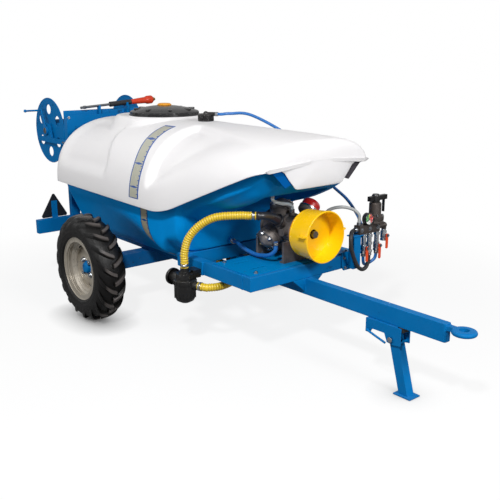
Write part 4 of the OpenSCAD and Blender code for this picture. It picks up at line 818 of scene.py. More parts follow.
@cache
def bolt_tree() -> Tree:
    """A hexagon head on a washer at every vertex, pointed along its aim: Across and Height in metres."""
    kit = Group("hex_bolts", "Geometry", "Geometry", Across=0.013, Height=0.007, Material=None)
    across, height = kit.start["Across"], kit.start["Height"]
    both = kit.add("GeometryNodeJoinGeometry")
    for sides, radius, depth, lift in ((6, 0.577, 1.0, 0.72), (20, 0.85, 0.24, 0.1), (12, 0.3, 0.35, 1.3)):
        drum = kit.add("GeometryNodeMeshCylinder", {
            "Vertices": sides, "Radius": kit.math("MULTIPLY", across, radius),
            "Depth": kit.math("MULTIPLY", height, depth)})
        shift = kit.add("ShaderNodeCombineXYZ", {"Z": kit.math("MULTIPLY", height, lift)})
        move = kit.add("GeometryNodeTransform", {
            "Translation": shift.outputs[0], "Geometry": drum.outputs["Mesh"]})
        kit.link(move.outputs["Geometry"], both.inputs[0])
    aim = kit.add("GeometryNodeInputNamedAttribute", {"Name": "aim"}, data_type="FLOAT_VECTOR")
    align = kit.add("FunctionNodeAlignRotationToVector", {"Vector": aim.outputs["Attribute"]}, axis="Z")
    copies = kit.add("GeometryNodeInstanceOnPoints", {
        "Points": kit.start["Geometry"], "Instance": both.outputs[0], "Rotation": align.outputs[0]})
    return kit.close_geometry(copies.outputs["Instances"])


@cache
def bead_tree() -> Tree:
    """A rippled weld bead along the incoming edges: Radius and Ripple in metres, Pitch between scales."""
    kit = Group("weld_bead", "Geometry", "Geometry", Radius=0.003, Pitch=0.0035, Ripple=0.22, Material=None)
    line = kit.add("GeometryNodeMeshToCurve", {"Mesh": kit.start["Geometry"]})
    even = kit.add("GeometryNodeResampleCurve", {
        "Curve": line.outputs["Curve"], "Length": kit.start["Pitch"]}, mode="LENGTH")
    odd = kit.math("MODULO", kit.add("GeometryNodeInputIndex").outputs[0], 2.0)
    size = kit.math("ADD", 1.0, kit.math("MULTIPLY", odd, kit.start["Ripple"]))
    radius = kit.add("GeometryNodeSetCurveRadius", {"Curve": even.outputs["Curve"], "Radius": size})
    ring = kit.add("GeometryNodeCurvePrimitiveCircle", {"Resolution": 7, "Radius": kit.start["Radius"]})
    bead = kit.add("GeometryNodeCurveToMesh", {"Fill Caps": True, "Curve": radius.outputs["Curve"],
                                               "Profile Curve": ring.outputs["Curve"]})
    return kit.close_geometry(bead.outputs["Mesh"])


def grown(name: str, source: Piece, maker: Callable[[], Tree], finish: Finish,
          crease: float = 35.0, **values: object) -> Piece:
    """Run a shared tree on a source object, and return the plain mesh that it makes.

    Args:
        name: the new piece's name.
        source: the object the tree starts from; it is used up.
        maker: the function that gives the tree.
        finish: the material the tree sets.
        crease: the angle in degrees past which edges stay sharp.
        values: the tree's inputs by name.

    Returns:
        The new object.
    """
    tree = maker()
    live = modify(source, "grown", "NODES", node_group=tree)
    values["Material"] = finish.material()
    for item in tree.interface.items_tree:
        if item.item_type == "SOCKET" and item.in_out == "INPUT" and item.name in values:
            live[item.identifier] = values[item.name]
    source.update_tag()
    data = baked(source)
    discard(source)
    data.name = name
    soften(data, crease)
    return placed(name, data)


def ring_of_blocks(name: str, finish: Finish, low: Point, high: Point, soft: float, count: int,
                   phase: float = 0.0) -> Piece:
    """A soft-cornered block, measured in millimetres from the Z axis, copied round that axis."""
    corners = [(x - AXLE_X, y, z) for x, y, z in (low, high)]
    return grown(name, block(*corners, soft), ring_tree, finish, Count=count, Phase=phase)


def studs(name: str, body: str, finish: Finish, middle: Vector, *ring: object) -> None:
    """A ring of blocks as a piece of its own round a middle."""
    made = ring_of_blocks(name, finish, *ring)
    made.data.transform(Matrix.Translation(middle))
    own(made, body, finish)


def bolts(name: str, body: str, spots: Sequence[Spot], across: float, height: float) -> None:
    """Hexagon bolts at places from the axle, each with the direction its head points."""
    data = bpy.data.meshes.new(name)
    data.from_pydata([tuple(at(*p)) for p, _ in spots], [], [])
    aim = data.attributes.new("aim", "FLOAT_VECTOR", "POINT")
    for index, (_, direction) in enumerate(spots):
        aim.data[index].vector = Vector(direction).normalized()
    made = grown(name, placed(name, data), bolt_tree, ZINC, Across=across / 1000, Height=height / 1000)
    own(made, body, ZINC)


def round_spots(middle: Point, axis: int, sign: int, radius: float, count: int, start: float) -> list[Spot]:
    """Even places for bolts round an axis of the model.

    Args:
        middle: the ring's middle, from the axle.
        axis: 0, 1 or 2 for X, Y or Z.
        sign: which way along the axis the heads point.
        radius: the ring's radius in millimetres.
        count: how many.
        start: where the first one sits, in degrees.

    Returns:
        Each place with its direction.
    """
    first, second = (i for i in range(3) if i != axis)
    spots = []
    for k in range(count):
        a = math.radians(start + 360 / count * k)
        place = list(middle)
        place[first] += radius * math.cos(a)
        place[second] += radius * math.sin(a)
        spots.append((tuple(place), tuple(sign if i == axis else 0 for i in range(3))))
    return spots


def weld_beads(name: str, body: str, lines: Sequence[Sequence[Point]], radius: float) -> None:
    """Painted weld beads along polylines measured from the axle."""
    points, edges = [], []
    for line in lines:
        start = len(points)
        points.extend(tuple(at(*p)) for p in line)
        edges.extend((start + k, start + k + 1) for k in range(len(line) - 1))
    data = bpy.data.meshes.new(name)
    data.from_pydata(points, edges, [])
    made = grown(name, placed(name, data), bead_tree, FRAME_PAINT, 70.0, Radius=radius / 1000)
    own(made, body, FRAME_PAINT)


# ---- Sub-assemblies ----

@dataclass
class Studio:
    """Camera, floor, backdrop and lights; a lamp has a name, a place in metres, a size and a power."""

    eye: Point = (3.07225, -2.336, 1.4135)
    right: Point = (0.6413, 0.7673, 0.0)
    up: Point = (-0.1946, 0.1626, 0.9673)
    back: Point = (0.7422, -0.6203, 0.2536)
    lens: float = 51.70
    shift: float = -0.0099
    half_floor: float = 14.0
    lamps: tuple[tuple[str, Point, float, float], ...] = (
        ("key", (2.9, -3.3, 4.3), 0.5, 222.0), ("front", (5.0, 0.0, 2.9), 1.2, 138.0),
        ("side", (-1.8, -4.6, 2.2), 2.5, 55.0), ("top", (-0.6, 0.2, 4.2), 3.2, 10.0),
        ("left_fill", (1.5, 4.0, 1.8), 2.6, 13.0), ("rear_fill", (-4.0, -1.0, 2.4), 2.6, 12.0))

    def build(self) -> None:
        """Make everything that isn't part of the sprayer."""
        scene = bpy.context.scene
        scene.view_settings.view_transform = "Standard"
        data = bpy.data.cameras.new("camera")
        data.lens = self.lens
        data.sensor_width = 36.0
        data.shift_y = self.shift
        data.clip_end = 100.0
        scene.camera = placed("camera", data)
        axes = Matrix((self.right, self.up, self.back)).transposed().to_4x4()
        scene.camera.matrix_world = Matrix.Translation(self.eye) @ axes
        self.floor()
        self.sky()
        for lamp in self.lamps:
            self.lamp(*lamp)

    def lamp(self, name: str, place: Point, size: float, power: float) -> None:
        """A square soft light that looks at the middle of the tank."""
        data = bpy.data.lights.new(name, "AREA")
        data.size = size
        data.energy = power
        way = Vector((-0.1, 0.0, 0.55)) - Vector(place)
        turn = way.to_track_quat("-Z", "Y").to_matrix().to_4x4()
        placed(name, data).matrix_world = Matrix.Translation(place) @ turn

    def floor(self) -> None:
        """A wide white floor that shows white to the camera, keeps the lamps' soft shadow, and carries a
        painted contact shadow where ambient occlusion darkens its glow.
        """
        corners = [Vector((x * self.half_floor, y * self.half_floor, 0))
                   for x, y in ((-1, -1), (1, -1), (1, 1), (-1, 1))]
        made = mesh_object("floor", corners, [(0, 1, 2, 3)], closed=False)
        paper = bpy.data.materials.new("floor_paper")
        paper.use_nodes = True
        kit = Kit(paper.node_tree)
        # Painted contact shadow: ambient occlusion darkens the floor's white glow near the wheels, the stand
        # foot and the underside.
        contact_shade = kit.add("ShaderNodeAmbientOcclusion", {"Distance": 0.16})
        glow = kit.add("ShaderNodeEmission", {"Strength": 1.0, "Color": contact_shade.outputs["Color"]})
        seen, _ = kit.seen()
        reach = kit.add("ShaderNodeVectorMath", {0: kit.place(Coordinates.OBJECT)}, operation="LENGTH")
        plain = kit.add("ShaderNodeMapRange", {
            "Value": reach.outputs["Value"], "From Min": 1.1, "From Max": 2.8, "To Min": 0.84,
            "To Max": 1.0}, interpolation_type="SMOOTHSTEP")
        shader = kit.tree.nodes["Principled BSDF"]
        tone = kit.math("MULTIPLY_ADD", seen, 0.62, 0.28)
        for label, value in (("Base Color", tone), ("Roughness", 0.9), ("Specular IOR Level", 0.1)):
            kit.link(value, shader.inputs[label])
        mask = kit.math("MULTIPLY", seen, plain.outputs["Result"])
        kit.blend(mask, shader, glow, "Material Output")
        made.data.materials.append(paper)

    def sky(self) -> None:
        """White to the camera, and a plain soft grey light on the sprayer."""
        world = bpy.data.worlds.new("studio")
        bpy.context.scene.world = world
        world.use_nodes = True
        kit = Kit(world.node_tree)
        soft = kit.tree.nodes["Background"]
        kit.link((0.93, 0.96, 1.0, 1.0), soft.inputs["Color"])
        kit.link(0.1, soft.inputs["Strength"])
        white = kit.add("ShaderNodeBackground", {"Color": (1.0, 1.0, 1.0, 1.0), "Strength": 1.0})
        seen, way = kit.seen()
        pale = kit.math("MULTIPLY", way["Is Glossy Ray"], 0.4)
        kit.blend(kit.math("MAXIMUM", seen, pale), soft, white, "World Output")


@dataclass
class Chassis:
    """Rails, crossmembers, platform, drawbar, eye, axle beam and the rear light bar."""

    deck: float = 452.0
    front: float = 1121.0
    rail: float = 384.0

    def build(self) -> None:
        """Break the edges of the steelwork and add beads and bolts."""
        round_all(("side_rails", FRAME_PAINT, 3.0), ("crossmembers", FRAME_PAINT, 3.0),
                  ("tank_bearers", AXLE_PAINT, 2.5), ("pump_platform", PLATFORM_PAINT, 1.4),
                  ("drawbar", FRAME_PAINT, 2.5), ("towing_eye", FRAME_PAINT, 2.0), ("axle", AXLE_PAINT, 2.0),
                  ("rear_light_bar", FRAME_PAINT, 2.0), ("warning_triangles", TRIANGLE_BLACK, 1.5),
                  ("regulator_post", FRAME_PAINT, 2.0))
        dress("wheel_bearings", ZINC)
        self.beads()
        self.fasteners()

    def beads(self) -> None:
        """Painted beads where tubes and plates meet."""
        lines = []
        top, low, nose = self.deck, self.rail, self.front - 60
        for side in (-1, 1):
            for x in (600.0, nose):
                inner, outer = side * 323.0, side * 363.0
                lines.append([(x, inner, top), (x, outer, top), (x, outer, low)])
                lines.append([(x, inner, low + 3), (x, inner, top - 1)])
            edge = side * 20.0
            lines.append([(self.front, edge, low), (self.front, edge, low - 2), (nose, edge, low)])
            lines.append([(self.front - 6, edge + side, low - 62), (self.front - 6, side * 98, low - 1)])
            lines.append([(-750.0, side * 160, 335), (-750.0, side * 160, 365)])
            for y in (160, 220):
                lines.append([(-40.0, side * y, 335), (40.0, side * y, 335)])
        lines.append([(1922.0, -15, 356), (1922.0, -15, 376), (1922.0, 15, 376), (1922.0, 15, 356)])
        lines.append([(self.front, 225, top), (self.front, 225, 400)])
        lines.append([(self.front, 335, 400), (self.front, 335, top)])
        weld_beads("frame_beads", "chassis", lines, 2.6)

    def fasteners(self) -> None:
        """Bolts of the platform, the triangles and the post's plate."""
        spots = [((862, y, 465), (0, 0, 1)) for y in (-70, 70)]
        spots += [((x, side * 300, 457), (0, 0, 1)) for x in (850, 1085) for side in (-1, 1)]
        bolts("platform_bolts", "chassis", spots, 13, 7)
        sign = [((x, side * 402, z), (way, 0, 0)) for x, way, heights in (
            (-795, 1, (448, 500)), (-805, -1, (448, 500)), (-799, -1, (366, 406)))
            for side in (-1, 1) for z in heights]
        bolts("sign_bolts", "chassis", sign, 8, 4)
        plate = [((1129, y, z), (1, 0, 0)) for y, z in ((240, 440), (328, 440), (250, 390))]
        bolts("post_bolts", "chassis", plate, 11, 6)


class Stand:
    """The folding prop stand under the drawbar."""

    def build(self) -> None:
        """Break the stand's edges."""
        round_all(("stand_bracket", FRAME_PAINT, 1.4), ("stand_leg", FRAME_PAINT, 1.8),
                  ("stand_buffer", BUFFER, 2.0), ("stand_pin", ZINC, 0.8), ("stand_bail", FRAME_PAINT, 0.8))


@dataclass
class Wheel:
    """One wheel: side is -1 on the right and 1 on the left; sizes in millimetres."""

    side: int
    radius: float = 295.0
    half: float = 80.0
    carcass: float = 275.0
    bead: float = 152.4
    lugs: int = 18
    fullness: float = 2.6

    @property
    def name(self) -> str:
        """The wheel's own word in node and body names."""
        return "right" if self.side < 0 else "left"

    @property
    def body(self) -> str:
        """The body that the wheel's pieces move with."""
        return f"wheel_{self.name}"

    @property
    def section(self) -> tuple[float, float]:
        """The middle radius of the carcass's section, and its reach to either side."""
        return (self.carcass + self.bead) / 2, (self.carcass - self.bead) / 2

    def place(self) -> Matrix:
        """Carry a piece drawn with its axis along +Z, outer side up, to the wheel."""
        turn = Matrix.Rotation(math.radians(-self.side * 90), 4, "X")
        return Matrix.Translation(at(0, self.side * HALF_TRACK, AXLE_Z)) @ turn

    def build(self) -> None:
        """Make the tyre, its lugs, the rim and what is bolted to it."""
        self.tyre()
        rounded_copy(f"rim_{self.name}", RIM_PAINT, 1.2, 50.0)
        self.rim_rings()
        round_all((f"hub_{self.name}", FRAME_PAINT, 1.2, 50.0),
                  (f"hub_cap_{self.name}", FRAME_PAINT, 1.0, 30.0))
        dress(f"wheel_bolts_{self.name}", ZINC)
        nuts = round_spots((0, self.side * (HALF_TRACK + 16), AXLE_Z), 1, self.side, 51, 4, 45)
        bolts(f"wheel_nuts_{self.name}", self.body, nuts, 20, 10)

    def outside(self, height: float) -> float:
        """The carcass radius at a height from the middle plane."""
        middle, reach = self.section
        across = min(abs(height) / self.half, 0.999)
        return middle + reach * (1 - across ** self.fullness) ** (1 / self.fullness)

    def tyre(self) -> None:
        """The rounded carcass with its bead rings, and the chevron lugs grown round it."""
        middle, reach = self.section
        wall, seat, hollow = 11, 156.0, 0.86
        steps, turn = 62, 2.32
        proud_rings = ((184, 2.2, 3.0), (206, 1.4, 2.2))  # radius, height and width
        outer = []
        for k in range(-steps, steps + 1):
            a = math.radians(k * turn)
            c, s = math.cos(a), math.sin(a)
            r = middle + reach * math.copysign(abs(c) ** (2 / self.fullness), c)
            h = self.half * math.copysign(abs(s) ** (2 / self.fullness), s)
            r = max(r, seat + 2)
            proud = sum(tall * math.exp(-((r - place) / wide) ** 2) for place, tall, wide in proud_rings)
            outer.append((r, h + math.copysign(proud, h) if abs(h) > 30 else h))
        inner = [(r - wall if abs(h) < 60 else r, h * hollow) for r, h in reversed(outer)]
        inner = [(max(r, seat), h) for r, h in inner]
        body = lathe(f"tyre_{self.name}_carcass", outer + inner, Matrix(), 128, crease=45.0)
        work = bmesh.new()
        for way in (-1, 1):
            self.lug(work, way)
        source = placed("lug", written(work, bpy.data.meshes.new("lug")))
        tread = grown(f"lugs_{self.name}", source, ring_tree, self.rubber(), 34.0, Count=self.lugs)
        whole = joined(f"tyre_{self.name}_tread", [body, tread])
        whole.data.transform(self.place())
        soften(whole.data, 36.0)
        own(whole, self.body, self.rubber(), [f"tyre_{self.name}"])

    def rubber(self) -> Finish:
        """Tyre rubber centred on this wheel's axis."""
        return TreadRubber(f"tyre_rubber_{self.name}", "tyre_rubber", "0c0b0b", "070606", rough=0.4,
                           specular=0.3, mottle=9.0, contrast=2.0, grain=420.0, grit=0.9, bump=0.3,
                           wear=0.08, wear_colour="2c2825",
                           middle=tuple(at(0, self.side * HALF_TRACK, AXLE_Z)))

    def lug(self, work: bmesh.types.BMesh, way: int) -> None:
        """One curved lug from the crown over the shoulder, on one half of the tread."""
        turn = math.pi / self.lugs if way > 0 else 0.0
        rows = []
        steps, slope, shoulder = 12, 0.62, 0.72
        start, across, bend, sunk = -6, 84, 0.94, 4
        for k in range(steps + 1):
            t = k / steps
            height = start + across * math.sin(t * math.pi / 2 * bend)
            low = self.outside(height) - sunk
            lift = 23.0 - 9.0 * smooth(t, 0.55, 1.0)
            top = min(low + lift, self.radius) if t < shoulder else low + lift
            if t > shoulder:
                top = min(top, self.radius - 62 * smooth(t, shoulder, 1.25))
            angle = turn + 0.34 * (t ** 1.35) - 0.12
            wide = (11.5 + 4.5 * smooth(t, 0.0, 0.6)) / 270
            rows.append([(low, angle - wide - 0.016, height), (top, angle - wide * slope, height),
                         (top, angle + wide * slope, height), (low, angle + wide + 0.016, height)])
        tail = self.outside(77.0) - 24
        ends = ((0, -wide - 0.01, -1.5), (3, -wide * 0.5, 1.0), (3, wide * 0.5, 1.0), (0, wide + 0.01, -1.5))
        rows.append([(tail + up, angle + turned, self.half + out) for up, turned, out in ends])
        grid = []
        for row in rows:
            grid.append([work.verts.new((r / 1000 * math.cos(a), r / 1000 * math.sin(a), way * h / 1000))
                         for r, a, h in row])
        made = []
        for one, two in zip(grid, grid[1:]):
            for k in range(4):
                m = (k + 1) % 4
                made.append(work.faces.new((one[k], one[m], two[m], two[k])))
        made.append(work.faces.new(grid[0]))
        made.append(work.faces.new(grid[-1]))
        bmesh.ops.recalc_face_normals(work, faces=made)

    def rim_rings(self) -> None:
        """Rolled flange edges and the steps pressed into the barrel."""
        profiles = [circle(170.5, side * 66.6, 3.4) for side in (-1, 1)]
        for r, h, size in ((146.6, 55.0, 3.0), (146.6, 46.0, 2.2), (132.5, 27.0, 3.2), (123.2, 16.0, 2.6)):
            profiles.append(circle(r, h, size, 10))
        rings = [lathe("ring", profile, self.place(), 96) for profile in profiles]
        own(joined(f"rim_{self.name}_rings", rings), self.body, RIM_PAINT)
        seat = self.place() @ Matrix.Translation((0.0, 0.136, 0.028)) @ Matrix.Rotation(0.5, 4, "X")
        valve = lathe("valve", [(0, 0), (5, 0), (5, 8), (3.4, 10), (3.4, 26), (4.4, 27), (4.4, 34), (0, 35)],
                      seat, 14, False)
        own(joined(f"tyre_valve_{self.name}", [valve]), self.body, BLACK_PLASTIC)


@dataclass
class Station:
    """One station of a shell: its place along X, then what the shell needs there."""

    x: float
    values: tuple[float, ...]


def between(stations: Sequence[Station], x: float) -> list[float]:
    """The values at x, on a smooth line through the stations that doesn't overshoot."""
    for end, beyond in ((stations[0], x <= stations[0].x), (stations[-1], x >= stations[-1].x)):
        if beyond:
            return list(end.values)
    i = max(k for k in range(len(stations) - 1) if stations[k].x <= x)
    one, two = stations[i], stations[i + 1]
    span = two.x - one.x
    t = (x - one.x) / span

    def rise(k: int, part: int) -> float:
        """The slope from a station to the next."""
        near, far = stations[k], stations[k + 1]
        return (far.values[part] - near.values[part]) / (far.x - near.x)

    def slope(k: int, part: int) -> float:
        """A slope at a station that is zero at a peak."""
        if k in (0, len(stations) - 1):
            return rise(max(k - 1, 0), part)
        a, b = rise(k - 1, part), rise(k, part)
        return 0.0 if a * b <= 0 else 2 * a * b / (a + b)

    out = []
    for part in range(len(one.values)):
        p, q = one.values[part], two.values[part]
        m, n = slope(i, part) * span, slope(i + 1, part) * span
        out.append((2 * t ** 3 - 3 * t ** 2 + 1) * p + (t ** 3 - 2 * t ** 2 + t) * m
                   + (3 * t ** 2 - 2 * t ** 3) * q + (t ** 3 - t ** 2) * n)
    return out


@dataclass
class Tank:
    """Both shells, the level strips, the neck, the lid and the return fitting."""

    rear: float = -660.0
    front: float = 1180.0
    seam: float = 662.0
    top: float = 1078.0
    lid_x: float = -92.0
    fitting: tuple[float, float] = (295.0, 12.0)
    boss_top: float = 1088.0
    arch_steps: int = 120
    hole: float = 192.0
    edge: tuple[tuple[float, float], ...] = ((-660, 18), (450, 0), (500, -4), (540, 10), (1180, 278))

    def shells(self) -> list[Station]:
        """Half width, base, top and fullness of the upper shell."""
        s, t = self.seam, self.top
        rows = ((-660, 400, 14, -78, 2.6), (-648, 430, 14, -44, 2.5), (-610, 448, 14, -26, 2.4),
                (-400, 450, 12, -16, 2.4), (-92, 450, 6, 0, 2.4), (280, 450, -4, -4, 2.4),
                (450, 446, -8, -6, 2.4), (560, 436, 2, -8, 2.5), (900, 396, 128, -14, 2.6),
                (1100, 366, 174, -22, 2.8), (1160, 352, 176, -28, 3.0), (1180, 330, 183, -38, 3.0))
        return [Station(x, (a, s + b, t + c, n)) for x, a, b, c, n in rows]

    def edge_z(self, x: float) -> float:
        """The lower edge of the upper shell, rounded at its corner."""
        def straight(u: float) -> float:
            """The edge line as straight stretches."""
            for (x0, z0), (x1, z1) in zip(self.edge, self.edge[1:]):
                if u <= x1:
                    return self.seam + z0 + (z1 - z0) * (u - x0) / (x1 - x0)
            return self.seam + self.edge[-1][1]
        return sum(straight(min(max(x + d, self.rear), self.front)) for d in range(-90, 91, 20)) / 10

    def panel(self, x: float, y: float, z: float) -> float:
        """How far the moulded side panels lie below the main surface, in millimetres."""
        crest = 88 + max(x - 420, 0) * 0.222
        low = 764 + max(x - 400, 0) * 0.31
        ahead = smooth(x, 362, 418) * smooth(abs(y), crest, crest + 55)
        ahead *= smooth(z, low, low + 48 + max(x - 400, 0) * 0.5) * (1 - smooth(x, 900, 1130))
        turn = 70 * smooth(z, 850, 1010)
        behind = (1 - smooth(x, -70 - turn, -20 - turn)) * smooth(abs(y), 150, 215) * smooth(z, 760, 850)
        behind *= smooth(x, -640, -500)
        return 30 * ahead + 15 * behind

    def crown(self, x: float, y: float) -> float:
        """The least height that the lid's boss and the fitting's pad give the top."""
        ahead = x - self.lid_x
        r = math.hypot(ahead if ahead > 0 else min(ahead + 110, 0), y)
        p = math.hypot(x - self.fitting[0], y - self.fitting[1])
        lid = self.boss_top - 3 - 100 * smooth(r, 212, 290)
        pad = self.top - 2.5 - 60 * smooth(p, 50, 90)
        return max(lid if r < 300 else 0.0, pad if p < 90 else 0.0)

    def skin(self, x: float, share: float) -> Vector:
        """A point of the upper shell; share runs over the top, from 0 at the right edge to 1 at the left."""
        a, z0, z1, n = between(self.shells(), x)
        start = math.asin(min(max((self.edge_z(x) - z0) / (z1 - z0), 0.0), 1.0) ** (n / 2))
        angle = start + (math.pi - 2 * start) * share
        c, s = math.cos(angle), math.sin(angle)
        y = -a * math.copysign(abs(c) ** (2 / n), c)
        z = z0 + (z1 - z0) * abs(s) ** (2 / n)
        deep = self.panel(x, y, z)
        if deep > 0:
            away = Vector((0, y / a ** 2, (z - z0) / (z1 - z0) ** 2)).normalized()
            y, z = y - away.y * deep, z - away.z * deep
        return Vector((x, y, max(z, self.crown(x, y))))

    def build(self) -> None:
        """Make every piece of the tank."""
        self.upper()
        self.lower()
        self.strips()
        self.fittings()

    def upper(self) -> None:
        """The white shell, hollow, with a rounded lower lip and the hanging front panel."""
        xs = [self.rear, -658, -654, -648, -640, -630, -618, -600]
        xs += [-585 + 10 * k for k in range(169)]
        xs += [1106, 1115, 1128, 1140, 1150, 1158, 1164, 1169, 1174, 1178, 1180]
        steps = self.arch_steps
        points = [self.skin(x, k / steps) for x in xs for k in range(steps + 1)]
        wide = steps + 1
        in_hole = [math.hypot(p.x - self.lid_x, p.y) < self.hole and p.z > 1000 for p in points]
        faces = [face for face in grid_faces(len(xs), wide) if not all(in_hole[j] for j in face)]
        rear = (self.rear, 0.0, self.edge_z(self.rear))
        self.close_end(points, faces, list(range(wide)), rear, False,
                       ((0.985, -2.5), (0.95, -5), (0.85, -8), (0.6, -11), (0.3, -12), (0.0, -12)))
        rim = list(range((len(xs) - 1) * wide, len(xs) * wide)) + self.chin(points)
        self.close_end(points, faces, rim, (self.front, 0.0, self.seam + 300), True,
                       ((0.96, 2.0), (0.88, 5.0), (0.72, 9.0), (0.5, 12.0), (0.25, 14.0), (0.0, 14.5)))
        made = mesh_object("tank_upper_shell", [at(*p) for p in points], faces, 60.0)
        self.outward(made)
        modify(made, "wall", "SOLIDIFY", thickness=0.007, offset=-1.0)
        modify(made, "lip", "BEVEL", width=0.0028, segments=3, limit_method="ANGLE",
               angle_limit=math.radians(60))
        own(made, "chassis", WHITE_SHELL, ["tank_upper"])
        t = self.boss_top
        section = [(173, t - 40), (173, t), (205, t), (211, t - 1.2), (214.5, t - 4.5), (216, t - 9),
                   (209, t - 9), (208, t - 7), (180, t - 7), (180, t - 40)]
        boss = lathe("tank_boss_ring", section, Matrix.Translation(at(self.lid_x, 0, 0)), 96)
        own(boss, "chassis", WHITE_SHELL)

    @staticmethod
    def outward(made: Piece) -> None:
        """Turn an open shell's faces so that they look away from its middle."""
        work = opened(made.data)
        bmesh.ops.recalc_face_normals(work, faces=work.faces)
        highest = max(work.faces, key=lambda f: f.calc_center_median().z)
        if highest.normal.z < 0:
            bmesh.ops.reverse_faces(work, faces=work.faces)
        written(work, made.data)

    def chin(self, points: list[Vector]) -> list[int]:
        """Add the edge of the nose panel's lower part, which hangs below the side edges."""
        left = [(330, 276), (290, 277), (258, 273), (236, 267), (217, 257), (197, 232), (180, 212),
                (161, 192), (152, 181), (140, 176), (100, 175), (50, 175)]
        edge = left + [(0, 175)] + [(-y, z) for y, z in reversed(left)]
        points.extend(Vector((self.front, y, self.seam + z)) for y, z in edge)
        return list(range(len(points) - len(edge), len(points)))

    @staticmethod
    def close_end(points: list[Vector], faces: Faces, rim: list[int], middle: Point, closed: bool,
                  rings: Sequence[tuple[float, float]]) -> None:
        """Close an end with rings that shrink onto a middle and bulge outwards.

        Args:
            points: the shell's points, which the rings are added to.
            faces: its faces, likewise.
            rim: the end's own points.
            middle: what the rings shrink onto.
            closed: whether the rim runs all round.
            rings: the share of the rim's size and the bulge along X of each ring; the last is the tip.
        """
        flat = [points[j].copy() for j in rim]
        before = rim
        for share, bulge in rings[:-1]:
            now = list(range(len(points), len(points) + len(rim)))
            points.extend(Vector((middle[0] + bulge, middle[1] + (p.y - middle[1]) * share,
                                  middle[2] + (p.z - middle[2]) * share)) for p in flat)
            for k in range(len(rim) - (not closed)):
                m = (k + 1) % len(rim)
                face = (before[k], before[m], now[m], now[k])
                faces.append(face if closed else flipped(face))
            before = now
        for k in range(len(rim) - (not closed)):
            face = (before[k], before[(k + 1) % len(rim)], len(points))
            faces.append(face if closed else flipped(face))
        points.append(Vector((middle[0] + rings[-1][1], middle[1], middle[2])))

    def basin_ring(self, x: float) -> list[tuple[float, float]]:
        """The lower shell's section at x, with soft corners, as (y, z) from right top to left top."""
        low, half_low, knee, half_knee, half_top = between(BASIN, x)
        high = self.edge_z(x) + 34
        corner = 38
        outline = [Vector(p) for p in ((half_top, high), (half_knee, knee), (half_low, low + corner),
                                       (half_low - corner, low), (0, low))]
        out = [(half_top + (half_knee - half_top) * f, high + (knee - high) * f)
               for f in (0, 0.2, 0.4, 0.6, 0.75)]
        for before, here, after, cut in zip(outline, outline[1:], outline[2:], (46, 24, 26)):
            reach = min(cut, (before - here).length * 0.45, (after - here).length * 0.45)
            one = here + (before - here).normalized() * reach
            two = here + (after - here).normalized() * reach
            for k in range(7):
                t = k / 6
                p = one * (1 - t) ** 2 + here * 2 * t * (1 - t) + two * t ** 2
                out.append((p.x, p.y))
        out += [(out[-1][0] * f, low) for f in (0.66, 0.33)]
        return [(-y, z) for y, z in out] + [(0.0, low)] + [(y, z) for y, z in reversed(out)]

    def lower(self) -> None:
        """The blue shell with its knee line, the pump's bay cut out of it, and the sump."""
        xs = [-640, -636, -630, -620, -606, -590] + [-560 + 28 * k for k in range(35)]
        xs += [428, 440, 452, 464, 476, 490, 520, 548, 565, 578, 588, 596, 601, 604, 606, 610, 640, 700, 760]
        xs += [820, 880, 940, 1000, 1060, 1095, 1115, 1120]
        rows = [[at(x, y, z) for y, z in self.basin_ring(x)] for x in xs]
        wide = len(rows[0])
        faces = grid_faces(len(rows), wide, True)
        faces += [tuple(range(wide)), tuple(range((len(rows) - 1) * wide, len(rows) * wide))]
        whole = mesh_object("tank_lower_whole", [p for row in rows for p in row], faces, 40.0)
        bay = block((640, -215, 430), (1300, 215, 790), 18)
        modify(whole, "bay", "BOOLEAN", operation="DIFFERENCE", solver="EXACT", object=bay)
        data = baked(whole)
        discard(whole)
        discard(bay)
        data.materials.clear()
        soften(data, 34.0)
        own(placed("tank_lower_shell", data), "chassis", BLUE_SHELL, ["tank_lower"])
        sump = lathe("tank_sump", [(0, 310), (30, 311), (38, 314), (42, 320), (42, 369), (0, 369)],
                     Matrix.Translation(at(400, -90, 0)), 40, False)
        pipe = sweep("pipe", [at(400 + 7 * k, -90, 350) for k in range(11)], lambda run: 19.5, 20)
        port = sweep("port", [at(594 + 2.6 * k, -69, 481) for k in range(11)], lambda run: 17.0, 20)
        own(joined("tank_sump_pipe", [sump, pipe, port]), "chassis", BLUE_SHELL)

    def on_side(self, x: float, z: float) -> Vector:
        """The point of the white shell's right side at x and height z."""
        low, high = 0.0, 0.5
        for _ in range(30):
            mid = (low + high) / 2
            if self.skin(x, mid).z < z:
                low = mid
            else:
                high = mid
        return self.skin(x, low)

    def strips(self) -> None:
        """The level strips that follow the right side of both shells."""
        heights = [704 + k * (1056 - 704) / 40 for k in range(41)]
        self.ribbon("level_strip_high", STRIP_WHITE, heights,
                    lambda z: 276 - 44 * smooth(z, 850, 1060), 45.0, self.on_side)
        heights = [648 - k * (648 - 392) / 26 for k in range(27)]
        self.ribbon("level_strip_low", STRIP_BLUE, heights,
                    lambda z: 292 + 66 * smooth(648 - z, 60, 256) * 1.1, 34.0, self.on_basin)

    def on_basin(self, x: float, z: float) -> Vector:
        """The point of the blue shell's right side at x and height z."""
        ring = self.basin_ring(x)
        half = ring[:len(ring) // 2]
        for (y0, z0), (y1, z1) in zip(half, half[1:]):
            if z1 <= z <= z0 and z0 > z1:
                t = (z0 - z) / (z0 - z1)
                return Vector((x, y0 + (y1 - y0) * t, z))
        return Vector((x, half[0][0], z))

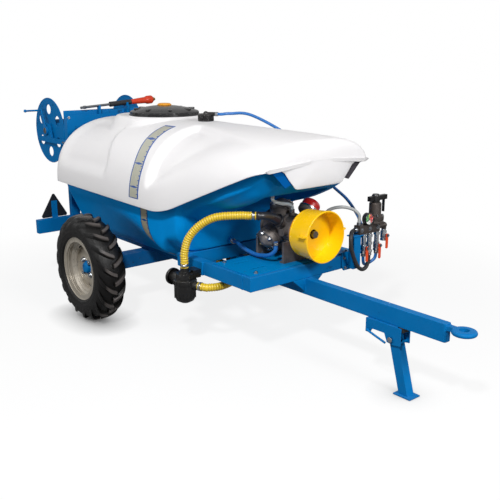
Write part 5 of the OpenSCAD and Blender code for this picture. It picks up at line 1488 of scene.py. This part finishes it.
    @staticmethod
    def ribbon(name: str, finish: Finish, heights: Sequence[float], middle: Callable[[float], float],
               half: float, surface: Callable[[float, float], Vector]) -> None:
        """A thin closed strip on a surface, a millimetre proud of it; middle gives its place along X."""
        cols = 6
        shifts = [half * (2 * c / cols - 1) for c in range(cols + 1)]
        grid = [[surface(middle(z) + shift, z) for shift in shifts] for z in heights]
        points, uv = [], {}
        for layer in (1.3, -0.6):
            for i, row in enumerate(grid):
                for c, p in enumerate(row):
                    side = row[min(c + 1, cols)] - row[max(c - 1, 0)]
                    up = grid[min(i + 1, len(grid) - 1)][c] - grid[max(i - 1, 0)][c]
                    away = side.cross(up).normalized()
                    if away.y > 0:
                        away = -away
                    uv[len(points)] = (c / cols, i / (len(heights) - 1))
                    points.append(at(*(p + away * layer)))
        wide, count = cols + 1, len(heights) * (cols + 1)
        faces = []
        for face in grid_faces(len(heights), wide):
            faces += [face, flipped([count + j for j in face])]
        border = list(range(wide)) + [wide * k + cols for k in range(1, len(heights))]
        border += [count - 1 - k for k in range(1, wide)]
        border += [wide * k for k in range(len(heights) - 2, 0, -1)]
        faces += [(a, count + a, count + b, b) for a, b in zip(border, border[1:] + border[:1])]
        own(mesh_object(name, points, faces, 50.0, uv, merge=0.0), "chassis", finish)

    def fittings(self) -> None:
        """Neck, strainer, lid with its grip ribs, vent, nose patches and the ribbed return fitting."""
        rounded_copy("filler_neck", LID_PLASTIC, 1.0, 45.0)
        dress("strainer_basket", LID_PLASTIC)
        round_all(("nose_vents", NOSE_GREY, 2.0), ("tank_lid", LID_PLASTIC, 1.5, 40.0),
                  ("lid_vent", VENT_YELLOW, 1.6, 30.0))
        middle = at(self.lid_x, 0, 0)
        studs("lid_grips", "lid", LID_PLASTIC, middle, (193.5, -5, 1096), (199.5, 5, 1108), 1.6, 36)
        studs("lid_spokes", "lid", LID_PLASTIC, middle, (96, -9, 1118), (178, 9, 1129), 4, 8,
              math.radians(22.5))
        studs("vent_teeth", "lid", VENT_YELLOW, middle, (36.5, -3, 1142.5), (40.5, 3, 1149), 1, 18)
        rounded_copy("return_fitting", BLACK_PLASTIC, 1.0, 30.0)
        studs("fitting_flutes", "chassis", BLACK_PLASTIC, at(*self.fitting, 1076), (39.5, -3.5, 2),
              (43.5, 3.5, 33), 1.2, 24)


# Places of the lower shell: underside, half width there, knee height, half width there and at the top
BASIN = [Station(x, v) for x, v in (
    (-640.0, (410.0, 240.0, 640.0, 362.0, 365.0)), (-600.0, (365.3, 285.0, 640.0, 393.0, 395.0)),
    (-300.0, (365.3, 285.0, 622.0, 396.0, 398.0)), (0.0, (365.3, 285.0, 596.0, 398.0, 400.0)),
    (200.0, (365.3, 285.0, 545.0, 398.0, 400.0)), (330.0, (365.3, 285.0, 492.0, 396.0, 400.0)),
    (430.0, (365.3, 285.0, 446.0, 392.0, 400.0)), (475.0, (452.3, 345.0, 510.0, 388.0, 400.0)),
    (570.0, (452.3, 345.0, 540.0, 383.0, 395.0)), (600.0, (462.0, 290.0, 560.0, 350.0, 385.0)),
    (606.0, (600.0, 300.0, 648.0, 352.0, 385.0)), (880.0, (716.0, 330.0, 770.0, 355.0, 360.0)),
    (1060.0, (800.0, 300.0, 850.0, 318.0, 320.0)), (1120.0, (850.0, 250.0, 896.0, 285.0, 300.0)))]


@dataclass
class Reel:
    """The hose reel: its frame with the tray, the drum, the axle and the crank."""

    x: float = -1023.0
    z: float = 945.0
    disc: float = 211.0
    inner: float = 288.0

    def along_axle(self) -> Matrix:
        """Carry a piece drawn round +Z to the reel's axis, with +Z turned to +Y."""
        return facing(at(self.x, 0, self.z), (0, 1, 0))

    def build(self) -> None:
        """Break the edges, roll the discs' rims and add the fasteners."""
        round_all(("reel_frame", FRAME_PAINT, 2.2), ("reel_drum", FRAME_PAINT, 0.7, 50.0),
                  ("reel_crank", FRAME_PAINT, 1.2, 40.0), ("reel_axle", STEEL, 1.5, 40.0))
        self.rims()
        self.fasteners()

    def rims(self) -> None:
        """A rolled rim and two pressed rings on each disc of the drum."""
        rings = []
        for side in (-1, 1):
            for r, size, share in ((self.disc - 3.4, 3.3, 1.0), (186.0, 2.4, 0.55), (92.0, 3.0, 0.6)):
                loop = circle(r, side * (self.inner + 1.5), size, flat=share)
                rings.append(lathe("ring", loop, self.along_axle(), 120))
            hub = side * (self.inner + 2.5)
            plate = [(20.5, hub), (44, hub), (44, hub + side * 4), (20.5, hub + side * 4)]
            rings.append(lathe("plate", plate, self.along_axle(), 48))
        own(joined("reel_disc_rims", rings), "reel", FRAME_PAINT)
        spots = [spot for side in (-1, 1)
                 for spot in round_spots((self.x, side * (self.inner + 6.3), self.z), 1, side, 34, 4, 45)]
        bolts("reel_hub_bolts", "reel", spots, 8, 4)

    def fasteners(self) -> None:
        """Bolts of the tray, the front panel and the clamped arms."""
        panel = [((-746, y, z), (1, 0, 0)) for y in (-286, 286) for z in (893, 1044)]
        arms = [((x, side * 312, 886), (0, side, 0)) for side in (-1, 1) for x in (-768, -795)]
        bolts("reel_frame_bolts", "chassis", panel + arms, 10, 5)
        lines = []
        for side in (-1, 1):
            lines.append([(-750, side * 245, 424), (-750, side * 300, 424)])
            lines.append([(-748, side * 301, 870), (-748, side * 301, 903)])
        weld_beads("reel_beads", "chassis", lines, 2.4)


@dataclass
class Gun:
    """The spray gun in its clips on the tray; heights run along it from its rear end."""

    x: float = -768.0
    back: float = -190.0
    rear_z: float = 1100.0
    tilt: float = 3.7
    joints: tuple[float, ...] = (210.0, 368.0, 533.0, 556.0)

    def place(self) -> Matrix:
        """Carry a piece drawn along +Z to the gun."""
        turn = Matrix.Rotation(math.radians(self.tilt - 90), 4, "X")
        return Matrix.Translation(at(self.x, self.back, self.rear_z)) @ turn

    def build(self) -> None:
        """Barrel and coupling, brass nozzle, ribbed grip and fluted sleeve."""
        grip, sleeve, tip, end = self.joints
        tube = [(0, 0), (6.6, 0), (8, 1.4), (8, 14), (7.2, 15), (7.2, 18), (8, 19), (8, grip - 2), (6, grip),
                (6, tip + 6), (0, tip + 6)]
        barrel = lathe("barrel", tube, self.place(), 32, False)
        nut = lathe("nut", [(7.9, 20), (10.5, 20), (11.5, 21.2), (11.5, 36), (10.5, 37.2), (7.9, 37.2)],
                    self.place(), 6)
        own(joined("gun_barrel_tube", [barrel, nut]), "chassis", STEEL, ["gun_barrel"])
        nozzle = [(6.5, tip), (12.2, tip), (13, tip + 0.8), (13, tip + 5), (12, tip + 6), (13, tip + 7),
                  (13, tip + 13.2), (12.2, tip + 14), (9, tip + 14.4), (9, end - 1), (8, end), (3.4, end),
                  (2.6, end - 4), (0, end - 4), (0, tip + 4), (6.5, tip + 4)]
        own(lathe("gun_nozzle", nozzle, self.place(), 36, False), "chassis", BRASS)
        self.ribbed_grip(grip, sleeve)
        rounded_copy("gun_sleeve", SLEEVE_ORANGE, 0.9, 30.0)

    def ribbed_grip(self, low: float, high: float) -> None:
        """A rubber grip with close finger ribs between two plain collars."""
        outline = [(6.05, low), (16, low), (17, low + 1), (17, low + 9), (16, low + 10)]
        count = 22
        pitch = (high - low - 26) / count
        for k in range(count):
            h = low + 12 + k * pitch
            outline += [(15.0, h), (15.2, h + pitch * 0.2), (16.7, h + pitch * 0.36),
                        (16.7, h + pitch * 0.68), (15.2, h + pitch * 0.84)]
        outline += [(16, high - 12), (17, high - 11), (17, high - 1.3), (16, high - 0.3), (6.05, high - 0.3)]
        own(lathe("gun_grip_ribs", outline, self.place(), 40), "chassis", GRIP_BLACK, ["gun_grip"])


@dataclass
class Pump:
    """The pump: cast case and heads, air chamber, intake elbow, shaft and its guard."""

    x: float = 925.0
    shaft_z: float = 605.0
    seat: float = 88.0
    head: float = 58.0
    heads: tuple[float, ...] = (90.0, 210.0, 330.0)
    chamber_x: float = 1036.0
    chamber_turn: float = 50.0

    def round_shaft(self, x: float, turn: float, out: float = 0.0) -> Matrix:
        """Carry a piece drawn along +Z to a place out from the shaft, at a turn round it."""
        a = math.radians(turn)
        way = Vector((0, math.cos(a), math.sin(a)))
        return facing(at(x, out * way.y, self.shaft_z + out * way.z), way)

    def build(self) -> None:
        """Make every piece of the pump."""
        rounded_copy("pump_body", PUMP_CAST, 2.0, 42.0)
        self.case_rings()
        self.make_heads()
        self.chamber()
        self.elbow()
        round_all(("pump_shaft", STEEL, 0.5, 40.0), ("shaft_guard", GUARD_YELLOW, 1.3, 32.0),
                  ("guard_ring", RING_ORANGE, 1.2, 40.0))
        self.guard_ribs()
        self.fasteners()

    def along_shaft(self) -> Matrix:
        """Carry a piece drawn along +Z to the shaft's axis, with heights measured from the axle."""
        return facing(at(0, 0, self.shaft_z), (1, 0, 0))

    def case_rings(self) -> None:
        """Cast flanges round the case, and the tie bars between them."""
        rings = []
        for low, high, r in ((851, 861, 77), (985, 1003, 78), (1058, 1074.6, 81)):
            flange = [(60, low), (r - 2, low), (r, low + 2), (r, high - 2), (r - 2, high), (60, high)]
            rings.append(lathe("flange", flange, self.along_shaft(), 72))
        for spot, way in round_spots((1003, 0, self.shaft_z), 0, 1, 71, 12, 15):
            rib = [(0, 0), (4.2, 0), (3.4, 54), (2.4, 55), (0, 55)]
            rings.append(lathe("rib", rib, facing(at(*spot), way), 12, False))
        own(joined("pump_case_flanges", rings), "chassis", PUMP_CAST)

    def make_heads(self) -> None:
        """Three ribbed diaphragm heads with their ring of bolts."""
        r = self.head
        outline = [(0, 0), (r - 1.5, 0), (r, 1.5), (r, 9), (r - 1.6, 10.2), (r - 1.6, 12.2), (r, 13.4),
                   (r, 22), (r - 1.6, 24.6), (r - 4, 26.2), (r - 15, 28), (r - 17.5, 30), (r - 19.5, 36),
                   (r - 21.5, 38.6), (24, 46), (13, 50.6), (11.5, 52), (0, 52)]
        parts, spots = [], []
        for turn in self.heads:
            place = self.round_shaft(self.x, turn, self.seat)
            parts.append(lathe("head", outline, place, 72, False, 28.0))
            lean = Matrix.Translation((0.012, 0, 0.0475)) @ Matrix.Rotation(math.radians(112), 4, "Y")
            for k in range(6):
                a = math.radians(k * 60)
                parts.append(lathe("rib", [(0, 0), (3.4, 0), (2.6, 27), (1.6, 28.6), (0, 28.6)],
                                   place @ Matrix.Rotation(a, 4, "Z") @ lean, 10, False))
                b = a + math.radians(30)
                spot = place @ Vector(((r - 9) / 1000 * math.cos(b), (r - 9) / 1000 * math.sin(b), 0.0262))
                way = place.to_3x3() @ Vector((0, 0, 1))
                spots.append(((spot.x * 1000 - AXLE_X, spot.y * 1000, spot.z * 1000), tuple(way)))
        own(joined("pump_head_castings", parts), "chassis", HEAD_CAST, ["pump_heads"])
        bolts("pump_head_bolts", "chassis", spots, 15.0, 10)

    def chamber(self) -> None:
        """The air chamber: a cast cup, a rolled metal ring and the painted cap with its valve."""
        place = self.round_shaft(self.chamber_x, self.chamber_turn, self.seat)
        cup = [(0, 0), (34, 0), (38, 2), (48, 11.5), (50, 16), (50, 27), (48.5, 28.5), (48.5, 30), (50, 31),
               (50, 32), (0, 32)]
        own(lathe("air_chamber_cup", cup, place, 72, False, 30.0), "chassis", PUMP_CAST, ["air_chamber"])
        ring = [(45, 31.6), (49, 31.6), (50.6, 32.8), (50.6, 39), (49.4, 40.4), (45, 40.4)]
        own(lathe("air_chamber_ring", ring, place, 72), "chassis", ZINC)
        cap = [(0, 33), (46, 33), (46, 59), (44.6, 64), (41.5, 69.5), (37, 74.4), (31, 78.6), (24, 81.8),
               (16, 84), (9, 85), (8.4, 86.6), (0, 86.6)]
        own(lathe("air_chamber_cap", cap, place, 72, False, 24.0), "chassis", CHAMBER_RED)

    def elbow(self) -> None:
        """The smooth black intake elbow that ends in a barbed spigot for the upper suction hose."""
        route = ((1005, -84, 653.5), (1005, -112, 669), (1005, -138, 683), (1005.3, -168, 692.5),
                 (1004, -192, 696.6), (996.5, -208.5, 697), (989, -216, 697), (975, -230, 697))
        step = 0.003
        line = resampled(curve_through(route, 8), step)
        length = step * (len(line) - 1)

        def radius(run: float) -> float:
            """Wide at the flange, slimmer at the spigot, with a rib between."""
            flange_r, taper, rib, rib_from_end, rib_width = 24.5, 6.2, 3.4, 0.028, 0.004
            base = flange_r - taper * smooth(run, 0.02, length - 0.03)
            return base + rib * math.exp(-((run - length + rib_from_end) / rib_width) ** 2)

        body = sweep("elbow", line, radius, 28)
        flange = lathe("flange", [(0, -4), (31, -4), (33, -2), (33, 6), (31, 8), (0, 8)],
                       facing(line[3], line[6] - line[3]), 40, False)
        own(joined("intake_elbow", [body, flange]), "chassis", MANIFOLD_BLACK, ["suction_manifold"])

    def guard_ribs(self) -> None:
        """Shallow rings moulded on the guard."""
        rings = []
        for x, size in ((1228.0, 2.6), (1112.0, 2.0)):
            r = 113.0 + 10.0 * (x - 1103) / 128 + 0.2
            rings.append(lathe("ring", circle(r - 1.2, x, size), self.along_shaft(), 120))
        own(joined("guard_rings", rings), "chassis", GUARD_YELLOW)

    def fasteners(self) -> None:
        """Bolts of the feet, the case and the guard's flange."""
        feet = [((x, side * 85, 465), (0, 0, 1)) for side in (-1, 1) for x in (872, 1040)]
        bolts("pump_feet_bolts", "chassis", feet, 13, 8)
        flange = round_spots((1093.2, 0, self.shaft_z), 0, 1, 74, 8, 22.5)
        bolts("guard_flange_bolts", "chassis", flange, 10, 6)
        back = round_spots((850, 0, self.shaft_z), 0, -1, 58, 6, 0)
        bolts("pump_case_bolts", "chassis", back, 11, 7)


@dataclass
class Filter:
    """The suction filter on the right rail."""

    x: float = 730.0
    y: float = -450.0
    bowl_top: float = 375.0

    def build(self) -> None:
        """Break the filter's edges and add the bowl's ribs and the ring nut's grips."""
        rounded_copy("suction_filter", BLACK_PLASTIC, 1.2, 36.0)
        top = self.bowl_top
        ribs = ring_of_blocks("ribs", BLACK_PLASTIC, (49.5, -2, top - 92), (53.6, 2, top - 27), 1.2, 16)
        grips = ring_of_blocks("grips", BLACK_PLASTIC, (54, -3.4, top - 23.4), (58.2, 3.4, top - 2.6), 1.4,
                               20, 0.1)
        whole = joined("filter_ribs", [ribs, grips])
        whole.data.transform(Matrix.Translation(at(self.x, self.y, 0)))
        soften(whole.data, 36.0)
        own(whole, "chassis", BLACK_PLASTIC)
        cap = [(0, 0), (0, 15.6), (40, 15.6), (42, 14), (42, 2), (41, 0.6), (38, 0)]
        end = facing(at(self.x - 93, self.y, top - 10), (-1, 0, 0))
        own(lathe("filter_end_cap", cap, end, 48, False), "chassis", BLACK_PLASTIC)
        plate = [((self.x + d, -380, top + 22), (0, -1, 0)) for d in (-22, 22)]
        bolts("filter_bolts", "chassis", plate, 10, 6)


def resampled(line: Sequence[Vector], step: float) -> list[Vector]:
    """The same line in equal steps of about step metres."""
    runs = [0.0]
    for a, b in zip(line, line[1:]):
        runs.append(runs[-1] + (b - a).length)
    count = max(int(runs[-1] / step), 2)
    out, j = [], 0
    for k in range(count + 1):
        want = runs[-1] * k / count
        while j < len(runs) - 2 and runs[j + 1] < want:
            j += 1
        span = max(runs[j + 1] - runs[j], 1e-9)
        out.append(line[j].lerp(line[j + 1], (want - runs[j]) / span))
    return out


@dataclass(frozen=True)
class Hose:
    """One hose: its route from the axle in millimetres, its radius and what it is made of."""

    name: str
    route: tuple[Point, ...]
    radius: float
    finish: Finish
    ribbed: bool = False

    def line(self, step: float) -> list[Vector]:
        """The hose's middle line in metres."""
        return resampled(curve_through(self.route, 12), step)

    def ends(self) -> list[tuple[Vector, Vector]]:
        """Each end of the hose with the direction that leads into it."""
        line = self.line(0.004)
        return [(line[0], line[2] - line[0]), (line[-1], line[-3] - line[-1])]

    def build(self) -> Piece:
        """Sweep the hose, with round ribs where it has them."""
        if not self.ribbed:
            return sweep(self.name, self.line(0.006), lambda run: self.radius, 20)
        pitch, valley = HOSE_PITCH / 1000, 2.4

        def radius(run: float) -> float:
            """Round ribs with narrow valleys."""
            return self.radius - valley * (0.5 - 0.5 * math.cos(TURN * run / pitch)) ** 2

        return sweep(self.name, self.line(0.0011), radius, 28)


HOSES = (
    Hose("upper_suction_hose", ((730, -450, 432), (730, -450, 472), (731, -450, 505), (748, -438, 575),
        (790, -405, 640), (850, -352, 685), (930, -275, 697), (960, -245, 697), (988, -217, 697)),
        19.5, SUCTION_HOSE, True),
    Hose("lower_suction_hose", ((470, -90, 350), (510, -90, 350), (545, -90, 350), (620, -98, 350),
        (720, -135, 348), (795, -195, 346), (840, -255, 346), (862, -315, 347), (866, -362, 349),
        (850, -402, 350), (843, -409, 350), (805, -423, 350)), 19.5, SUCTION_HOSE, True),
    Hose("pump_supply_hose", ((1030, -130, 565), (1030, -130, 545), (1024, -132, 518), (985, -138, 492),
        (904, -134, 476), (830, -128, 478), (748, -118, 490), (690, -90, 490), (650, -71, 482),
        (638, -69, 481), (620.7, -69, 481)), 10.0, BLUE_HOSE),
    Hose("regulator_supply_hose", ((1150, 303, 579), (1150, 285, 579), (1158, 258, 577), (1180, 228, 555),
        (1184, 232, 494), (1184, 275, 410), (1180, 315, 380), (1162, 365, 374), (1151, 395, 392),
        (1150, 400, 425), (1150, 400, 449.4)), 10.0, BLACK_HOSE),
    Hose("valve_loop_hose", ((1150, 358, 449.4), (1150, 358, 430), (1147, 364, 405), (1136, 384, 386),
        (1132, 407, 380), (1136, 430, 388), (1147, 450, 405), (1150, 456, 430), (1150, 456, 449.4)),
        8.0, BLUE_HOSE),
    Hose("pressure_hose", ((1040, 98, 622), (1040, 118, 628), (1040, 138, 634), (1046, 166, 654),
        (1062, 202, 684), (1095, 250, 694), (1130, 292, 682), (1149, 316, 655), (1150, 318, 636),
        (1150, 318, 618), (1150, 318, 600)), 8.0, GREY_HOSE),
    Hose("sight_hose", ((1000, -128, 789), (1000, -128, 776), (1001, -122, 758), (1007, -84, 742),
        (1012, -34, 732), (1012, -12, 718), (1012, -10, 704), (1012, -10, 690)), 8.0, SIGHT_HOSE),
    Hose("return_hose", ((340, 42, 1114), (355, 52, 1114), (370, 62, 1114), (404, 96, 1118),
        (469, 188, 1109), (600, 332, 1005), (690, 432, 880), (800, 455, 760), (950, 440, 690),
        (1048, 416, 626), (1088, 402, 588), (1108, 400, 580), (1119, 400, 580), (1130, 400, 580)),
        8.0, BLUE_HOSE),
)


class Hoses:
    """Every hose with its clamps and sleeves."""

    def build(self) -> None:
        """Sweep the hoses and close their ends."""
        stands_for = {"upper_suction_hose": ["suction_hoses"], "pump_supply_hose": ["pressure_hoses"]}
        bands, sleeves, screws = [], [], []
        for hose in HOSES:
            own(hose.build(), "chassis", hose.finish, stands_for.get(hose.name, []))
            for place, way in hose.ends():
                way = way.normalized()
                if hose.ribbed:
                    bands.append(self.band(place + way * 0.013, way, hose.radius))
                    screws.append(self.screw(place + way * 0.013, way, hose.radius))
                else:
                    sleeves.append(self.sleeve(place + way * 0.0005, way, hose.radius))
        own(joined("hose_clamp_bands", bands), "chassis", ZINC, ["hose_fittings"])
        own(joined("hose_clamp_screws", screws), "chassis", ZINC)
        own(joined("hose_sleeves", sleeves), "chassis", ZINC)

    @staticmethod
    def band(place: Vector, way: Vector, radius: float) -> Piece:
        """A slotted worm-drive band."""
        r = radius + 0.3
        section = [(r, -6), (r + 1.6, -6), (r + 1.9, -5.2), (r + 1.2, -4.4), (r + 1.2, 4.4), (r + 1.9, 5.2),
                   (r + 1.6, 6), (r, 6)]
        return lathe("band", section, facing(place, way), 48)

    @staticmethod
    def screw(place: Vector, way: Vector, radius: float) -> Piece:
        """The band's worm housing with its screw head, turned towards the front right."""
        out = Vector((0.7, -0.7, 0.15))
        out = (out - way * out.dot(way)).normalized()
        side = way.cross(out).normalized()
        axis = facing(place + out * (radius + 5.0) / 1000, side)
        house = lathe("house", [(0, -8), (4.6, -8), (5.2, -7), (5.2, 7), (4.6, 8), (0, 8)], axis, 12, False)
        head = lathe("head", [(0, 8), (2.4, 8), (2.4, 10), (4, 10.4), (4, 14), (3.4, 14.8), (0, 14.8)],
                     axis, 6, False)
        return joined("worm", [house, head])

    @staticmethod
    def sleeve(place: Vector, way: Vector, radius: float) -> Piece:
        """A crimped metal sleeve."""
        r = radius + 0.4
        outline = [(r, 0), (r + 2.4, 0), (r + 3.2, 0.8)]
        for h in (3.5, 7.0, 10.5):
            outline += [(r + 3.2, h - 0.9), (r + 2.0, h), (r + 3.2, h + 0.9)]
        outline += [(r + 3.2, 14.0), (r + 2.2, 15.2), (r, 15.2)]
        return lathe("sleeve", outline, facing(place, way), 40)


@dataclass
class Regulator:
    """The pressure regulator on its post: column, gauge, handle, ball valves and levers."""

    x: float = 1150.0
    gauge_y: float = 357.0
    gauge_z: float = 632.5
    gauge_x: float = 1158.0

    def build(self) -> None:
        """Make every piece of the regulator."""
        rounded_copy("regulator_body", VALVE_CAST, 1.8, 36.0)
        self.gauge()
        rounded_copy("pressure_handle", BLACK_PLASTIC, 2.2, segments=3)
        studs("handle_ribs", "handle", BLACK_PLASTIC, at(self.x, 437, 704.3), (19, -1.6, 2),
              (21.4, 1.6, 32), 0.7, 16)
        rounded_copy("ball_valves", CHROME, 0.7, 36.0)
        for k in (1, 2, 3):
            rounded_copy(f"valve_lever_{k}", LEVER_ORANGE, 1.0)
        self.fasteners()

    def gauge(self) -> None:
        """The gauge: a chromed case on its stem, the dial, the needle and the window."""
        middle = at(self.gauge_x, self.gauge_y, self.gauge_z)
        place = facing(middle, (1, 0, 0))
        section = [(0, 0), (27, 0), (29.5, 1.6), (29.5, 18), (31.5, 19.4), (31.5, 26.4), (30.4, 28),
                   (28.6, 28), (27.9, 27.2), (27.9, 23), (3, 23), (3, 24), (0, 24)]
        case = lathe("case", section, place, 72, False)
        neck = lathe("neck", [(0, -9), (7, -9), (7, 1), (0, 1)], place, 32, False)
        stem = lathe("stem", [(0, 0.3), (7, 0.3), (7, 39), (0, 39)],
                     Matrix.Translation(at(self.x, self.gauge_y, 600)), 32, False)
        own(joined("gauge_case", [case, neck, stem]), "chassis", GAUGE_CASE, ["pressure_gauge"])
        face = DialFace("dial_face", "valve_chrome", "f2f2ee", "ecece6", rough=0.4, bump=0.0,
                        middle=tuple(middle))
        dial = [(3.1, 23.02), (27.7, 23.02), (27.7, 23.2), (3.1, 23.2)]
        own(lathe("gauge_dial", dial, place), "chassis", face)
        window = [(0, 26), (27.7, 26), (27.7, 26.9), (0, 27.1)]
        own(lathe("gauge_window", window, place, 64, False), "chassis", WINDOW)
        rounded_copy("gauge_needle", NEEDLE, 0.2)

    def fasteners(self) -> None:
        """The column's flange bolts, the lever nuts and the plugs of the body."""
        spots = round_spots((self.x, 435, 639.0), 2, 1, 39, 6, 30)
        bolts("column_bolts", "chassis", spots, 8, 5)
        lever = [((1181.2, y, z), (1, 0, 0)) for y, z in ((358, 480), (456, 480), (510, 524))]
        bolts("lever_nuts", "chassis", lever, 10, 4)
        body = [((1170, y, 578), (1, 0, 0)) for y in (320, 380, 440)]
        bolts("body_plugs", "chassis", body, 14, 5)


def main() -> None:
    """Build the sprayer and its studio."""
    logging.basicConfig(level=logging.INFO, format="%(name)s: %(message)s")
    for part in (Studio(), Chassis(), Stand(), Wheel(-1), Wheel(1), Tank(), Reel(), Gun(), Pump(), Filter(),
                 Hoses(), Regulator()):
        LOG.info("building %s", type(part).__name__)
        part.build()
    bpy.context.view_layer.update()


if __name__ == "__main__":
    main()
